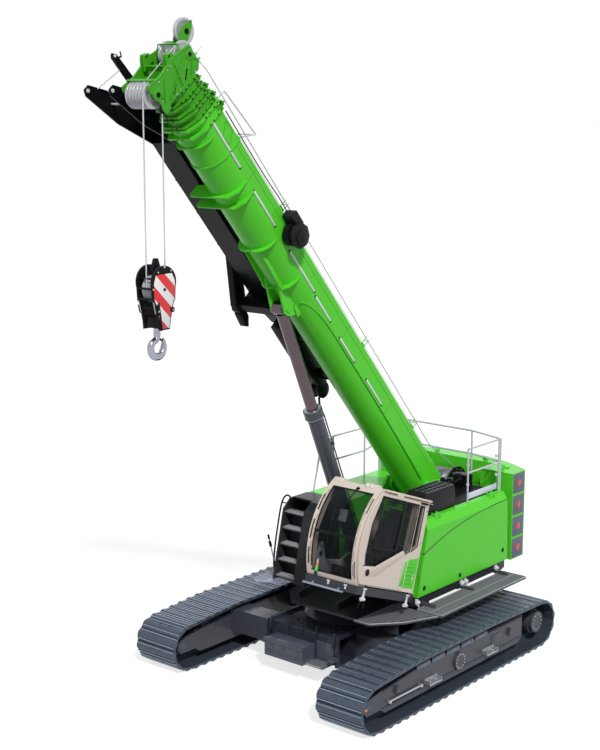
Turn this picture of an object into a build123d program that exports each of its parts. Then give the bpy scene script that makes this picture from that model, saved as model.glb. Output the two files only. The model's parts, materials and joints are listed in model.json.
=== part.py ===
"""Crawler crane with a four-part telescopic boom.

The frame: origin on the ground under the slew axis, +X forward, +Y to the crane's left, +Z up.
All sizes are in millimetres. The boom is drawn lying level, with u forward from its foot pin and
w up, and the cab level on its hinge; both are then turned to the angle at which they park.
"""
import math
import os

from build123d import *

# ------------------------------------------------------------------ driving sizes
PARK_LUFF = 49.0            # boom above the horizontal
PARK_CAB_TILT = 20.0        # cab tipped back
RUN = 0.5                   # running gap at a bearing or slide pad
CLEAR = 8.0                 # gap between pieces that pass each other

# tracks
TRACK_Y = 2000.0            # track centre line, extended
SHOE_WIDTH = 900.0
SHOE_COUNT = 56
SHOE_PLATE = 28.0
SHOE_HEIGHT = 60.0          # plate and grouser
LINK_HEIGHT = 95.0
LINK_WIDTH = 60.0
LINK_GAP = 90.0             # between the two rows of links
SPROCKET_X, SPROCKET_R = -2440.0, 430.0     # radius over the shoes
IDLER_X, IDLER_R = 2440.0, 410.0
CROWN_FRONT_X, CROWN_REAR_X, CROWN_Z = 1250.0, -850.0, 900.0
SPROCKET_TEETH = 21
RETRACT = 650.0             # each track slides in by this
TOW_Y, TOW_Z = 735.0, 460.0                 # towing eyes
TOW_R, TOW_T = 38.0, 45.0                   # their bore and thickness

# track frames
FRAME_HALF = 300.0          # half the width of a track frame
FRAME_REAR_X, FRAME_FRONT_X = -1970.0, 2150.0
FRAME_TOP_Z, FRAME_BOTTOM_Z = 690.0, 205.0
ROLLER_R, ROLLER_COUNT = 95.0, 9
IDLER_AXLE_R = 55.0

# carbody
TUBE_WALL = 25.0
BEAM_X, BEAM_Z = (384.0, 420.0)             # telescoping beam, along x and z
BEAM_LOW_Z = 350.0
BEAM_CENTRES = {1: (600.0, -1050.0), -1: (1050.0, -600.0)}
CARBODY_HALF_Y = 770.0
CARBODY_HALF_X = 1275.0
RING_LOW_Z, RING_TOP_Z = 960.0, 1060.0
RING_TEETH, RING_R, RING_ROOT_R, RING_BORE_R = 72, 640.0, 612.0, 520.0

# superstructure
DECK_LOW_Z = 1120.0
DECK_Z = 1160.0
MAIN_PLATE_Y, MAIN_PLATE_T = 410.0, 50.0
HOUSING_INNER_Y, HOUSING_OUTER_Y = 520.0, 1445.0
HOUSING_LOW_Z, HOUSING_TOP_Z = 1350.0, 2640.0
HOUSING_WALL = 30.0
HOUSING_REAR_X = -2740.0
BEVEL_IN, BEVEL_DOWN = 100.0, 175.0         # outer top edge of the engine housing
COVER_T, COVER_GAP = 40.0, 5.0
SLAB_HEIGHT, SLAB_COUNT, SLAB_LOW_Z = 405.0, 4, 1310.0
SLAB_FRONT_X, SLAB_SIDE_X, SLAB_REAR_X = -2840.0, -3260.0, -3720.0
SLAB_EYE_R, SLAB_EYE_DEPTH = 72.0, 14.0     # round recess in each end of a slab
WINCHES = {"main_winch": (-2720.0, 2590.0), "second_winch": (-2950.0, 1850.0)}
WINCH_DRUM_R, WINCH_FLANGE_R, WINCH_HALF = 230.0, 320.0, 360.0

# boom
PIVOT = (-1780.0, 2670.0)
BOOM_WIDTH, BOOM_DEPTH, BOOM_WALL = 680.0, 700.0, 12.0
BOOM_LOW_W = -200.0         # underside of the base tube below the foot pin
BASE_REAR_U, BASE_FRONT_U = -255.0, 8780.0
SECTION_STEP = 24.0         # each section is this much smaller a side
SECTION_FRONT_STEP = 170.0  # each collar stands this far ahead of the last
SECTION_COLLAR = 150.0
COLLAR_REACH = 30.0         # a collar stands this far off its tube
ROD_EYE = (5140.0, -325.0)  # u, w
CYLINDER_FOOT = (-200.0, 1750.0)
BARREL_R, ROD_R = 135.0, 100.0
EYE_HALF = 105.0
ROD_EYE_R = 112.0
JIB_LOW_W = 0.0             # underside of the folded jib
JIB_Y = (-960.0, -500.0)
JIB_ROOT_U = BASE_FRONT_U - 480.0           # where the jib's box ends and its fork begins
EAR_T = 40.0

# sheaves and hoist rope
SHEAVE_R, SHEAVE_GROOVE, SHEAVE_HALF = 195.0, 22.0, 24.0
HEAD_LOWER = (BASE_FRONT_U + 775, -335.0)   # u, w of the pins in the boom head
HEAD_UPPER = (BASE_FRONT_U + 790, 515.0)
RUNNER = (BASE_FRONT_U + 930, 855.0)
LOWER_COUNT, LOWER_PITCH = 6, 66.0
CHEEK_Y, CHEEK_T = 240.0, 30.0
ROPE_R = 11.0

# hook block, hanging plumb under one of the lower sheaves
BLOCK_PIN_Z, BLOCK_TOP_Z, BLOCK_LOW_Z = 6950.0, 7290.0, 6370.0
BLOCK_HALF_Y = 170.0

# cab, level, with its hinge at local (0, 0)
CAB_HINGE = (100.0, 1320.0)
CAB_RIGHT_Y, CAB_LEFT_Y = 470.0, 1490.0
CAB_WALL = 50.0
PILLAR_SLOTS = 6            # in each front pillar
CAB_LUGS_Y = (560.0, 900.0)                 # two hinge lugs on the deck
LUG_T = 40.0
CAB_PIN_R = 40.0
TILT_FOOT = (600.0, 1230.0)                 # frame x, z
TILT_EYE = (900.0, 0.0)                     # on the cab's base
TILT_Y, TILT_HALF = 730.0, 38.0
TILT_R, TILT_ROD_R, TILT_PIN_R = 34.0, 20.0, 18.0

os.makedirs("parts", exist_ok=True)


# ------------------------------------------------------------------ shape helpers
def block(x, y, z):
    """Box between pairs of limits."""
    centre = Pos((x[0] + x[1]) / 2, (y[0] + y[1]) / 2, (z[0] + z[1]) / 2)
    return centre * Box(x[1] - x[0], y[1] - y[0], z[1] - z[0])


def side_plate(outline, y):
    """Outline in (x, z), as points or a face, thickened from y[0] to y[1]."""
    face = outline if isinstance(outline, Sketch) else make_face(Polyline(*outline, close=True))
    return extrude(Plane((0, y[1], 0), x_dir=(1, 0, 0), z_dir=(0, -1, 0)) * face, y[1] - y[0])


def plan_plate(outline, z):
    """Outline in (x, y), as points or a face, thickened from z[0] to z[1]."""
    face = outline if isinstance(outline, Sketch) else make_face(Polyline(*outline, close=True))
    return extrude(Pos(0, 0, z[0]) * face, z[1] - z[0])


def end_plate(outline, x):
    """Outline in (y, z), as points or a face, thickened from x[0] to x[1]."""
    face = outline if isinstance(outline, Sketch) else make_face(Polyline(*outline, close=True))
    return extrude(Plane((x[0], 0, 0), x_dir=(0, 1, 0), z_dir=(1, 0, 0)) * face, x[1] - x[0])


def cross_disc(centre, radius, y):
    """Disc or shaft along Y at centre (x, z)."""
    return Pos(centre[0], (y[0] + y[1]) / 2, centre[1]) * Rot(90, 0, 0) * Cylinder(radius, y[1] - y[0])


def upright_disc(centre, radius, z):
    """Disc along Z at centre (x, y)."""
    return Pos(centre[0], centre[1], (z[0] + z[1]) / 2) * Cylinder(radius, z[1] - z[0])


def bar(start, end, radius):
    """Round bar between two points."""
    start, end = Vector(*start), Vector(*end)
    place = Plane(origin=start, z_dir=end - start)
    align = (Align.CENTER, Align.CENTER, Align.MIN)
    return place * Cylinder(radius, (end - start).length, align=align)


def along(radius, start, end):
    """Shaft along X."""
    return Pos((start + end) / 2, 0, 0) * Rot(0, 90, 0) * Cylinder(radius, end - start)


def tube_run(points, radius):
    """Bent tube: straight bars with a ball at each joint."""
    run = bar(points[0], points[1], radius)
    for start, end in zip(points[1:], points[2:]):
        run += bar(start, end, radius) + Pos(*start) * Sphere(radius + 3)
    return run


def save(name, *shapes):
    """Write one node; its solids are those of all the shapes."""
    solids = [solid for shape in shapes for solid in shape.solids()]
    node = Compound(solids) if len(solids) > 1 else solids[0]
    node.label = name
    export_step(node, f"parts/{name}.step")


# ------------------------------------------------------------------ track loops
def leave_angle(centre, radius, point):
    """Angle at which a line to the point leaves a circle that is run anticlockwise."""
    dx, dz = point[0] - centre[0], point[1] - centre[1]
    return math.atan2(dz, dx) - math.acos(radius / math.hypot(dx, dz))


def loop_points(count):
    """Evenly spaced joints along the inside of the shoes, with outward directions."""
    low = SHOE_HEIGHT
    crown = CROWN_Z - SHOE_HEIGHT
    idler, idler_r = (IDLER_X, IDLER_R), IDLER_R - SHOE_HEIGHT
    sprocket, sprocket_r = (SPROCKET_X, SPROCKET_R), SPROCKET_R - SHOE_HEIGHT
    leave = leave_angle(idler, idler_r, (CROWN_FRONT_X, crown))
    mirrored = leave_angle((-SPROCKET_X, SPROCKET_R), sprocket_r, (-CROWN_REAR_X, crown))
    arrive = math.pi - mirrored

    def on_circle(centre, radius, angle):
        return centre[0] + radius * math.cos(angle), centre[1] + radius * math.sin(angle)

    pieces = [
        ("line", (SPROCKET_X, low), (IDLER_X, low)),
        ("arc", idler, idler_r, -math.pi / 2, leave),
        ("line", on_circle(idler, idler_r, leave), (CROWN_FRONT_X, crown)),
        ("line", (CROWN_FRONT_X, crown), (CROWN_REAR_X, crown)),
        ("line", (CROWN_REAR_X, crown), on_circle(sprocket, sprocket_r, arrive)),
        ("arc", sprocket, sprocket_r, arrive, 1.5 * math.pi),
    ]
    lengths = [math.dist(p[1], p[2]) if p[0] == "line" else p[2] * (p[4] - p[3]) for p in pieces]
    pitch = sum(lengths) / count
    joints = []
    for number in range(count):
        along = (number + 0.5) * pitch
        index = 0
        while along > lengths[index]:
            along -= lengths[index]
            index += 1
        piece = pieces[index]
        share = along / lengths[index]
        if piece[0] == "line":
            (ax, az), (bx, bz) = piece[1], piece[2]
            joints.append((ax + share * (bx - ax), az + share * (bz - az)))
        else:
            joints.append(on_circle(piece[1], piece[2], piece[3] + share * (piece[4] - piece[3])))
    return joints


def outward(start, end):
    """Unit vector to the right of a step, which is out of an anticlockwise loop."""
    length = math.dist(start, end)
    return (end[1] - start[1]) / length, -(end[0] - start[0]) / length


def offset_loop(joints, distance):
    """Joints moved out by a distance along the mean of their two shoes' directions."""
    moved = []
    for before, here, after in zip(joints[-1:] + joints[:-1], joints, joints[1:] + joints[:1]):
        nx, nz = outward(before, after)
        moved.append((here[0] + nx * distance, here[1] + nz * distance))
    return moved


def chord_radius(radius):
    """Least radius of a loop that is bent in straight links round a wheel."""
    joints = loop_points(SHOE_COUNT)
    pitch = math.dist(joints[0], joints[1])
    return radius * math.cos(pitch / 2 / (radius + LINK_HEIGHT))


def track_loop(centre_y):
    """Shoes with their grousers, and the two rows of links that they are bolted to."""
    joints = loop_points(SHOE_COUNT)
    rim = []
    shoe_profile = ((0.0, 12.0), (0.08, SHOE_PLATE), (0.38, SHOE_HEIGHT), (0.62, SHOE_HEIGHT),
                    (0.92, SHOE_PLATE))
    for here, after in zip(joints, joints[1:] + joints[:1]):
        nx, nz = outward(here, after)
        for share, height in shoe_profile:
            x = here[0] + share * (after[0] - here[0]) + nx * height
            z = here[1] + share * (after[1] - here[1]) + nz * height
            rim.append((x, z))
    half = SHOE_WIDTH / 2
    shoes = side_plate(rim, (-half, half)) - side_plate(joints, (-half - 1, half + 1))
    outer = offset_loop(joints, 6.0)
    inner = offset_loop(joints, -LINK_HEIGHT)
    for low in (-LINK_GAP / 2 - LINK_WIDTH, LINK_GAP / 2):
        high = low + LINK_WIDTH
        shoes += side_plate(outer, (low, high)) - side_plate(inner, (low - 1, high + 1))
    return Pos(0, centre_y, 0) * shoes


def sprocket(centre_y, side):
    """Toothed wheel between the link rows, with its hub cap on the outside."""
    centre = (SPROCKET_X, SPROCKET_R)
    tip_r = chord_radius(SPROCKET_R - SHOE_HEIGHT) - CLEAR
    root_r = tip_r - 55
    step = 2 * math.pi / SPROCKET_TEETH
    rim = []
    for tooth in range(SPROCKET_TEETH):
        for share, radius in ((0.0, root_r), (0.3, root_r), (0.52, tip_r), (0.78, tip_r)):
            angle = (tooth + share) * step
            rim.append((centre[0] + radius * math.cos(angle), centre[1] + radius * math.sin(angle)))
    half = LINK_GAP / 2 - CLEAR
    wheel = side_plate(rim, (-half, half))
    wheel += cross_disc(centre, 215, (-40, 250)) + cross_disc(centre, 190, (200, 330))
    wheel -= cross_disc(centre, 100 + RUN, (-100, 180))
    if side < 0:
        wheel = mirror(wheel, about=Plane.XZ)
    return Pos(0, centre_y, 0) * wheel


def idler(centre_y):
    """Idler: running rims for the links, a guide flange between them, and its axle."""
    centre = (IDLER_X, IDLER_R)
    run_r = chord_radius(IDLER_R - SHOE_HEIGHT - LINK_HEIGHT) - CLEAR
    wheel = cross_disc(centre, run_r, (-112, 112))
    wheel += cross_disc(centre, run_r + 70, (-LINK_GAP / 2 + CLEAR, LINK_GAP / 2 - CLEAR))
    wheel += cross_disc(centre, 115, (-225, 225))
    wheel += cross_disc(centre, IDLER_AXLE_R, (-FRAME_HALF, FRAME_HALF))
    return Pos(0, centre_y, 0) * wheel


def rollers(centre_y):
    """Bottom rollers, each with two flanges and an axle that ends at the frame's skirts."""
    z = SHOE_HEIGHT + LINK_HEIGHT + ROLLER_R + 0.3
    first, last = FRAME_REAR_X + 230, FRAME_FRONT_X - 400
    shapes = []
    for number in range(ROLLER_COUNT):
        centre = (first + number * (last - first) / (ROLLER_COUNT - 1), z)
        roller = cross_disc(centre, ROLLER_R, (-108, 108))
        for low in (-130, 110):
            roller += cross_disc(centre, ROLLER_R + 18, (low, low + 20))
        roller += cross_disc(centre, 38, (-FRAME_HALF + 30.3, FRAME_HALF - 30.3))
        shapes.append(Pos(0, centre_y, 0) * roller)
    return shapes


def track_frame(centre_y, side):
    """Welded side frame with its slide rail, idler fork, final drive and two beams."""
    rear, front = FRAME_REAR_X, FRAME_FRONT_X
    outline = [(rear, FRAME_BOTTOM_Z + 80), (rear, FRAME_TOP_Z), (CROWN_FRONT_X, FRAME_TOP_Z),
               (front, FRAME_TOP_Z - 100), (front, FRAME_BOTTOM_Z + 80),
               (front - 110, FRAME_BOTTOM_Z), (rear + 110, FRAME_BOTTOM_Z)]
    frame = side_plate(outline, (-FRAME_HALF, FRAME_HALF))
    skirt = FRAME_HALF - 30
    frame -= block((rear - 1, front + 1), (-skirt, skirt), (0, 372))
    fork = side_plate([(front - 260, 285), (front - 260, 590), (front, 590), (IDLER_X + 60, 530),
                       (IDLER_X + 130, 470), (IDLER_X + 130, 350), (IDLER_X + 60, 285)],
                      (-FRAME_HALF, FRAME_HALF))
    frame += fork
    frame -= block((front - 255, IDLER_X + 200), (-235, 235), (0, 700))
    frame -= cross_disc((IDLER_X, IDLER_R), IDLER_AXLE_R + RUN, (-400, 400))
    crown_end = 150
    pad = (CROWN_FRONT_X - CROWN_REAR_X - 2 * crown_end) / 5
    link_low = CROWN_Z - SHOE_HEIGHT - LINK_HEIGHT
    for number in range(5):
        start = CROWN_REAR_X + crown_end + number * pad + 20
        frame += block((start, start + pad - 40), (-115, 115), (FRAME_TOP_Z - 1, link_low - 0.5))
    drive = side_plate([(rear + 5, 300), (rear + 5, 660), (SPROCKET_X, 590), (SPROCKET_X - 140, 480),
                        (SPROCKET_X - 140, 380), (SPROCKET_X, 280)], (-FRAME_HALF, -215))
    drive += cross_disc((SPROCKET_X, SPROCKET_R), 180, (-FRAME_HALF - 60, -48))
    drive += cross_disc((SPROCKET_X, SPROCKET_R), 100, (-60, 170))
    frame += drive
    frame += cross_disc((0, 440), 150, (FRAME_HALF - 1, FRAME_HALF + 35))
    inner_end = -(TRACK_Y - FRAME_HALF - 2 * RETRACT - 10) - TRACK_Y
    for centre in BEAM_CENTRES[side]:
        frame += block((centre - BEAM_X / 2, centre + BEAM_X / 2), (inner_end, -FRAME_HALF + 1),
                       (BEAM_LOW_Z, BEAM_LOW_Z + BEAM_Z))
        for low in (inner_end, -TRACK_Y + CARBODY_HALF_Y - 160):
            frame += block((centre - BEAM_X / 2 - CLEAR + RUN, centre + BEAM_X / 2 + CLEAR - RUN),
                           (low, low + 120),
                           (BEAM_LOW_Z - CLEAR + RUN, BEAM_LOW_Z + BEAM_Z + CLEAR - RUN))
    if side < 0:
        frame = mirror(frame, about=Plane.XZ)
    return Pos(0, centre_y, 0) * frame


def track_steps(centre_y, side):
    """Two steps and a long locking bar on the outside of the track frame."""
    face = FRAME_HALF + 0.3
    steps = []
    for x in (980, -700):
        step = block((x - 330, x), (face, face + 115), (330, 345))
        step += block((x - 330, x - 318), (face, face + 115), (345, 400))
        step += block((x - 12, x), (face, face + 115), (345, 400))
        step += block((x - 330, x), (face, face + 12), (345, 420))
        steps.append(step)
    locking = bar((FRAME_FRONT_X - 150, face + 30, 370), (1080, face + 30, 370), 18)
    for x in (FRAME_FRONT_X - 190, 1120):
        locking += block((x - 25, x + 25), (face, face + 55), (345, 395))
    steps.append(locking)
    shapes = [mirror(s, about=Plane.XZ) if side < 0 else s for s in steps]
    return [Pos(0, centre_y, 0) * s for s in shapes]


for hand, side in (("left", 1), ("right", -1)):
    y = side * TRACK_Y
    save(f"{hand}_track_loop", track_loop(y))
    save(f"{hand}_sprocket", sprocket(y, side))
    save(f"{hand}_idler", idler(y))
    save(f"{hand}_track_rollers", *rollers(y))
    save(f"{hand}_track_frame", track_frame(y, side))
    save(f"{hand}_track_steps", *track_steps(y, side))


# ------------------------------------------------------------------ carbody
def carbody():
    """Box with four through tubes for the track beams, and the drum under the slew ring."""
    low, high = BEAM_LOW_Z - CLEAR - TUBE_WALL, BEAM_LOW_Z + BEAM_Z + CLEAR + TUBE_WALL
    body = block((-CARBODY_HALF_X, CARBODY_HALF_X), (-CARBODY_HALF_Y, CARBODY_HALF_Y), (low, high))
    for x0, x1 in ((340, CARBODY_HALF_X + 35), (-CARBODY_HALF_X - 35, -340)):
        for y in (-CARBODY_HALF_Y, CARBODY_HALF_Y - 60):
            body += block((x0, x1), (y, y + 60), (low - 20, high + 35))
    for centre in BEAM_CENTRES[1] + BEAM_CENTRES[-1]:
        half = BEAM_X / 2 + CLEAR
        body -= block((centre - half, centre + half), (-900, 900), (low + TUBE_WALL, high - TUBE_WALL))
    body -= block((-250, 250), (-600, 600), (low - 1, high - 40))
    cone = Pos(0, 0, (high + RING_LOW_Z) / 2) * Cone(820, 690, RING_LOW_Z - high)
    body += cone
    body -= upright_disc((0, 0), 420, (high - 100, RING_LOW_Z + 1))
    return body


def toothed_ring():
    """Fixed slew ring with external teeth."""
    step = 2 * math.pi / RING_TEETH
    rim = []
    for tooth in range(RING_TEETH):
        for share, radius in ((0.0, RING_ROOT_R), (0.3, RING_ROOT_R), (0.5, RING_R), (0.8, RING_R)):
            angle = (tooth + share) * step
            rim.append((radius * math.cos(angle), radius * math.sin(angle)))
    ring = plan_plate(rim, (RING_LOW_Z + 20, RING_TOP_Z))
    ring += upright_disc((0, 0), 665, (RING_LOW_Z, RING_LOW_Z + 20))
    return ring - upright_disc((0, 0), RING_BORE_R, (RING_LOW_Z - 1, RING_TOP_Z + 1))


def carbody_fittings():
    """Tool box and step plate on the front of the carbody, and the rear step plate."""
    front = CARBODY_HALF_X
    tool_box = block((front + 0.3, front + 330), (-590, 250), (300, 600))
    tool_box += block((front + 300, front + 345), (-600, 260), (560, 610))
    step = block((front + 0.3, front + 300), (300, 660), (330, 350))
    step += block((front + 0.3, front + 12), (300, 660), (330, 680))
    rear = block((-front - 300, -front - 0.3), (-350, 350), (330, 350))
    rear += block((-front - 12, -front - 0.3), (-350, 350), (330, 680))
    shapes = [tool_box, step, rear]
    for face, reach in ((front + 35.3, 150), (-front - 35.3, -150)):
        for y in (-TOW_Y, TOW_Y):
            outline = [(face, y - 70), (face + reach, y - 55), (face + reach, y + 55), (face, y + 70)]
            eye = plan_plate(outline, (TOW_Z - TOW_T / 2, TOW_Z + TOW_T / 2))
            shapes.append(eye - upright_disc((face + reach * 0.6, y), TOW_R, (TOW_Z - 100, TOW_Z + 100)))
    return shapes


save("carbody", carbody())
save("slew_ring", toothed_ring())
save("carbody_fittings", *carbody_fittings())


# ------------------------------------------------------------------ superstructure
def upper_frame():
    """Deck plate, two main side plates, cross beams, side sills and the cylinder's foot lug."""
    frame = plan_plate([(1100, -420), (1100, 980), (-300, 1000), (HOUSING_REAR_X, 900),
                        (SLAB_SIDE_X, 700), (SLAB_SIDE_X, -700), (HOUSING_REAR_X, -900),
                        (-300, -1000), (700, -800)], (DECK_LOW_Z, DECK_Z))
    race = upright_disc((0, 0), 700, (RING_TOP_Z + RUN, DECK_LOW_Z + 1))
    race -= upright_disc((0, 0), RING_BORE_R, (RING_TOP_Z, DECK_LOW_Z + 2))
    frame += race
    px, pz = PIVOT
    wx, wz = WINCHES["main_winch"]
    profile = [(900, DECK_Z - 1), (900, 1260), (150, 1340), (-250, 1480), (px + 230, pz + 40),
               (px + 140, pz + 160), (px - 140, pz + 160), (wx + 150, wz + 150), (wx - 150, wz + 150),
               (SLAB_SIDE_X + 60, wz - 60), (SLAB_SIDE_X + 60, DECK_Z - 1)]
    for y in (-MAIN_PLATE_Y - MAIN_PLATE_T, MAIN_PLATE_Y):
        frame += side_plate(profile, (y, y + MAIN_PLATE_T))
    beam_end = HOUSING_OUTER_Y - 15
    for x, y0, y1 in ((-2600, -beam_end, beam_end), (-1300, -beam_end, beam_end),
                      (-100, 400, beam_end), (-660, -beam_end, -400)):
        frame += block((x - 75, x + 75), (y0, y1), (DECK_Z - 1, HOUSING_LOW_Z - 0.3))
    for y, x1 in ((-beam_end, -590), (beam_end - 100, 60)):
        frame += block((HOUSING_REAR_X, x1), (y, y + 100), (DECK_Z + 20, HOUSING_LOW_Z - 0.3))
    fx, fz = CYLINDER_FOOT
    ear_y = EYE_HALF + 45
    for y in (-ear_y - EAR_T, ear_y):
        ear = side_plate([(-620, DECK_Z - 1), (-620, 2000), (fx - 120, fz + 150), (fx + 150, fz + 100),
                          (fx + 150, fz - 100), (-420, 1330), (-420, DECK_Z - 1)], (y, y + EAR_T))
        frame += ear
    frame += block((-620, -500), (-MAIN_PLATE_Y, MAIN_PLATE_Y), (DECK_Z - 1, 1980))
    for y in (-ear_y - EAR_T - 25, ear_y + EAR_T - 1):
        frame += cross_disc((fx, fz), 75, (y, y + 26))
    hx, hz = CAB_HINGE
    for y in CAB_LUGS_Y:
        frame += side_plate([(hx - 90, DECK_Z - 1), (hx - 55, hz + 25), (hx, hz + 60), (hx + 50, hz + 25),
                             (hx + 60, DECK_Z - 1)], (y, y + LUG_T))
    frame += cross_disc(CAB_HINGE, CAB_PIN_R, (CAB_LUGS_Y[0] - 15, CAB_LUGS_Y[1] + LUG_T + 15))
    tx, tz = TILT_FOOT
    for y in (TILT_Y - TILT_HALF - 20.5, TILT_Y + TILT_HALF + 0.5):
        frame += side_plate([(tx - 60, DECK_Z - 1), (tx - 25, tz + 25), (tx + 25, tz + 25),
                             (tx + 60, DECK_Z - 1)], (y, y + 20))
    frame += cross_disc(TILT_FOOT, TILT_PIN_R, (TILT_Y - TILT_HALF - 25, TILT_Y + TILT_HALF + 25))
    carrier_x = (SLAB_REAR_X + 160, SLAB_SIDE_X + 60)
    frame += block(carrier_x, (-700, 700), (DECK_LOW_Z, SLAB_LOW_Z - 0.3))
    frame -= cross_disc(PIVOT, 75, (-600, 600))
    for centre in WINCHES.values():
        frame -= cross_disc(centre, 60 + RUN, (-600, 600))
    return frame


def housing_outline(rear, front_low, front_high, low, high):
    """Side view of a machine housing: the front edge leans back."""
    return [(rear, low), (front_low, low), (front_high, high), (rear + 40, high)]


COVER_HINGES_X = (-2340.0, -640.0)
COVER_AXIS = (HOUSING_OUTER_Y - BEVEL_IN + 40, HOUSING_TOP_Z + 25)          # y, z
KNUCKLE, KNUCKLE_R, COVER_PIN_R = 100.0, 20.0, 12.0
LATCHES, LATCH_R = [(-130.0, 1480.0), (-2580.0, 1560.0)], 45.0


def housing_section(grow=0.0):
    """End view of the engine housing in (y, z), with its bevelled outer edge, grown by a distance."""
    edge = HOUSING_OUTER_Y - BEVEL_IN
    outline = [(HOUSING_INNER_Y, HOUSING_LOW_Z), (HOUSING_OUTER_Y, HOUSING_LOW_Z),
               (HOUSING_OUTER_Y, HOUSING_TOP_Z - BEVEL_DOWN), (edge, HOUSING_TOP_Z),
               (HOUSING_INNER_Y, HOUSING_TOP_Z)]
    face = make_face(Polyline(*outline, close=True))
    return offset(face, grow, kind=Kind.INTERSECTION) if grow else face


def left_housing():
    """Engine housing, open on its outer side, where the cover hangs on two pins."""
    outline = housing_outline(HOUSING_REAR_X, 40, -260, HOUSING_LOW_Z, HOUSING_TOP_Z)
    wall = HOUSING_WALL
    inner = [(HOUSING_REAR_X + wall, HOUSING_LOW_Z + wall), (10 - wall, HOUSING_LOW_Z + wall),
             (-280 - wall, HOUSING_TOP_Z - wall), (HOUSING_REAR_X + 40 + wall, HOUSING_TOP_Z - wall)]
    shell = side_plate(outline, (HOUSING_INNER_Y, HOUSING_OUTER_Y))
    shell &= end_plate(housing_section(), (HOUSING_REAR_X - 1, 100))
    shell -= side_plate(inner, (HOUSING_INNER_Y + wall, HOUSING_OUTER_Y + 1))
    y, z = COVER_AXIS
    root = HOUSING_OUTER_Y - BEVEL_IN - 15
    for x in COVER_HINGES_X:
        for low in (x - 5 - 20, x + KNUCKLE + 5):
            shell += block((low, low + 20), (root, y + 22), (HOUSING_TOP_Z - 40, z + 22))
        shell += Pos(0, y, z) * along(COVER_PIN_R, x - 20, x + KNUCKLE + 20)
    return shell


def left_cover():
    """Side cover of the engine housing, hung from its top edge."""
    low, high = HOUSING_LOW_Z + 5, HOUSING_TOP_Z - 5
    outline = [(HOUSING_REAR_X + 5, low), (55, low), (-245, high), (HOUSING_REAR_X + 45, high)]
    inner_edge = HOUSING_OUTER_Y - BEVEL_IN - 20
    skin = housing_section(COVER_GAP + COVER_T) - housing_section(COVER_GAP)
    cover = end_plate(skin, (HOUSING_REAR_X - 1, 100))
    cover &= side_plate(outline, (inner_edge, HOUSING_OUTER_Y + COVER_GAP + COVER_T + 1))
    y, z = COVER_AXIS
    for x in COVER_HINGES_X:
        cover -= block((x - 40, x + KNUCKLE + 40), (inner_edge, HOUSING_OUTER_Y), (high - 50, high + 1))
        leaf = block((x, x + KNUCKLE), (y - KNUCKLE_R, y + KNUCKLE_R), (high - 90, z))
        cover += leaf - end_plate(housing_section(COVER_GAP), (x - 1, x + KNUCKLE + 1))
        cover += Pos(0, y, z) * along(KNUCKLE_R, x, x + KNUCKLE)
        cover -= Pos(0, y, z) * along(COVER_PIN_R + RUN, x - 1, x + KNUCKLE + 1)
    for x, z in LATCHES:
        cover -= cross_disc((x, z), LATCH_R, (HOUSING_OUTER_Y + COVER_GAP + COVER_T - 12,
                                              HOUSING_OUTER_Y + COVER_GAP + COVER_T + 1))
    return cover


def engine():
    floor = HOUSING_LOW_Z + HOUSING_WALL
    return block((-2250, -950), (720, 1300), (floor + 0.3, floor + 900))


def intake_box():
    """Low box on the housing with slots across its top."""
    x0, x1, y0, y1 = -1290, -350, 900, HOUSING_OUTER_Y - BEVEL_IN - 20
    z0, z1 = HOUSING_TOP_Z + 0.3, HOUSING_TOP_Z + 410
    box = side_plate([(x0, z0), (x1, z0), (x1 - 30, z1), (x0 + 40, z1)], (y0, y1))
    rows = 7
    pitch = (x1 - x0 - 160) / rows
    for number in range(rows):
        start = x0 + 95 + number * pitch
        for low in (y0 + 40, (y0 + y1) / 2 + 15):
            box -= block((start, start + pitch - 40), (low, low + (y1 - y0) / 2 - 55), (z1 - 60, z1 + 1))
    return box


def right_housing():
    """Tank and hydraulic housing on the right, open underneath."""
    wall = HOUSING_WALL
    outline = housing_outline(HOUSING_REAR_X, -560, -620, HOUSING_LOW_Z, HOUSING_TOP_Z - 90)
    housing = side_plate(outline, (-HOUSING_OUTER_Y, -HOUSING_INNER_Y))
    return housing - block((HOUSING_REAR_X + 40 + wall, -620 - wall),
                           (-HOUSING_OUTER_Y + wall, -HOUSING_INNER_Y - wall),
                           (HOUSING_LOW_Z - 1, HOUSING_TOP_Z - 90 - wall))


def step_tower():
    """Ladder tower ahead of the right housing: five treads between side cheeks."""
    outer, inner = -HOUSING_OUTER_Y, -700
    low = DECK_Z + 0.3
    body = side_plate([(-555, low), (140, low), (-150, 2560), (-555, 2560)], (outer, inner))
    body -= block((-520, -100), (outer + 30, inner - 30), (low - 1, 2530))
    ladder = side_plate([(130, low), (420, low), (130, 2400), (-60, 2560), (-160, 2560)],
                        (outer, inner))
    ladder -= side_plate([(100, 1100), (500, 1100), (150, 2600), (-200, 2600)],
                         (outer + 40, inner - 260))
    body += ladder
    for number in range(5):
        z = 1200 + number * 280
        x = 400 - (z - 1150) * 290 / 1250
        body += block((x - 280, x), (outer + 20, inner - 240), (z, z + 30))
    return body


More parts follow.
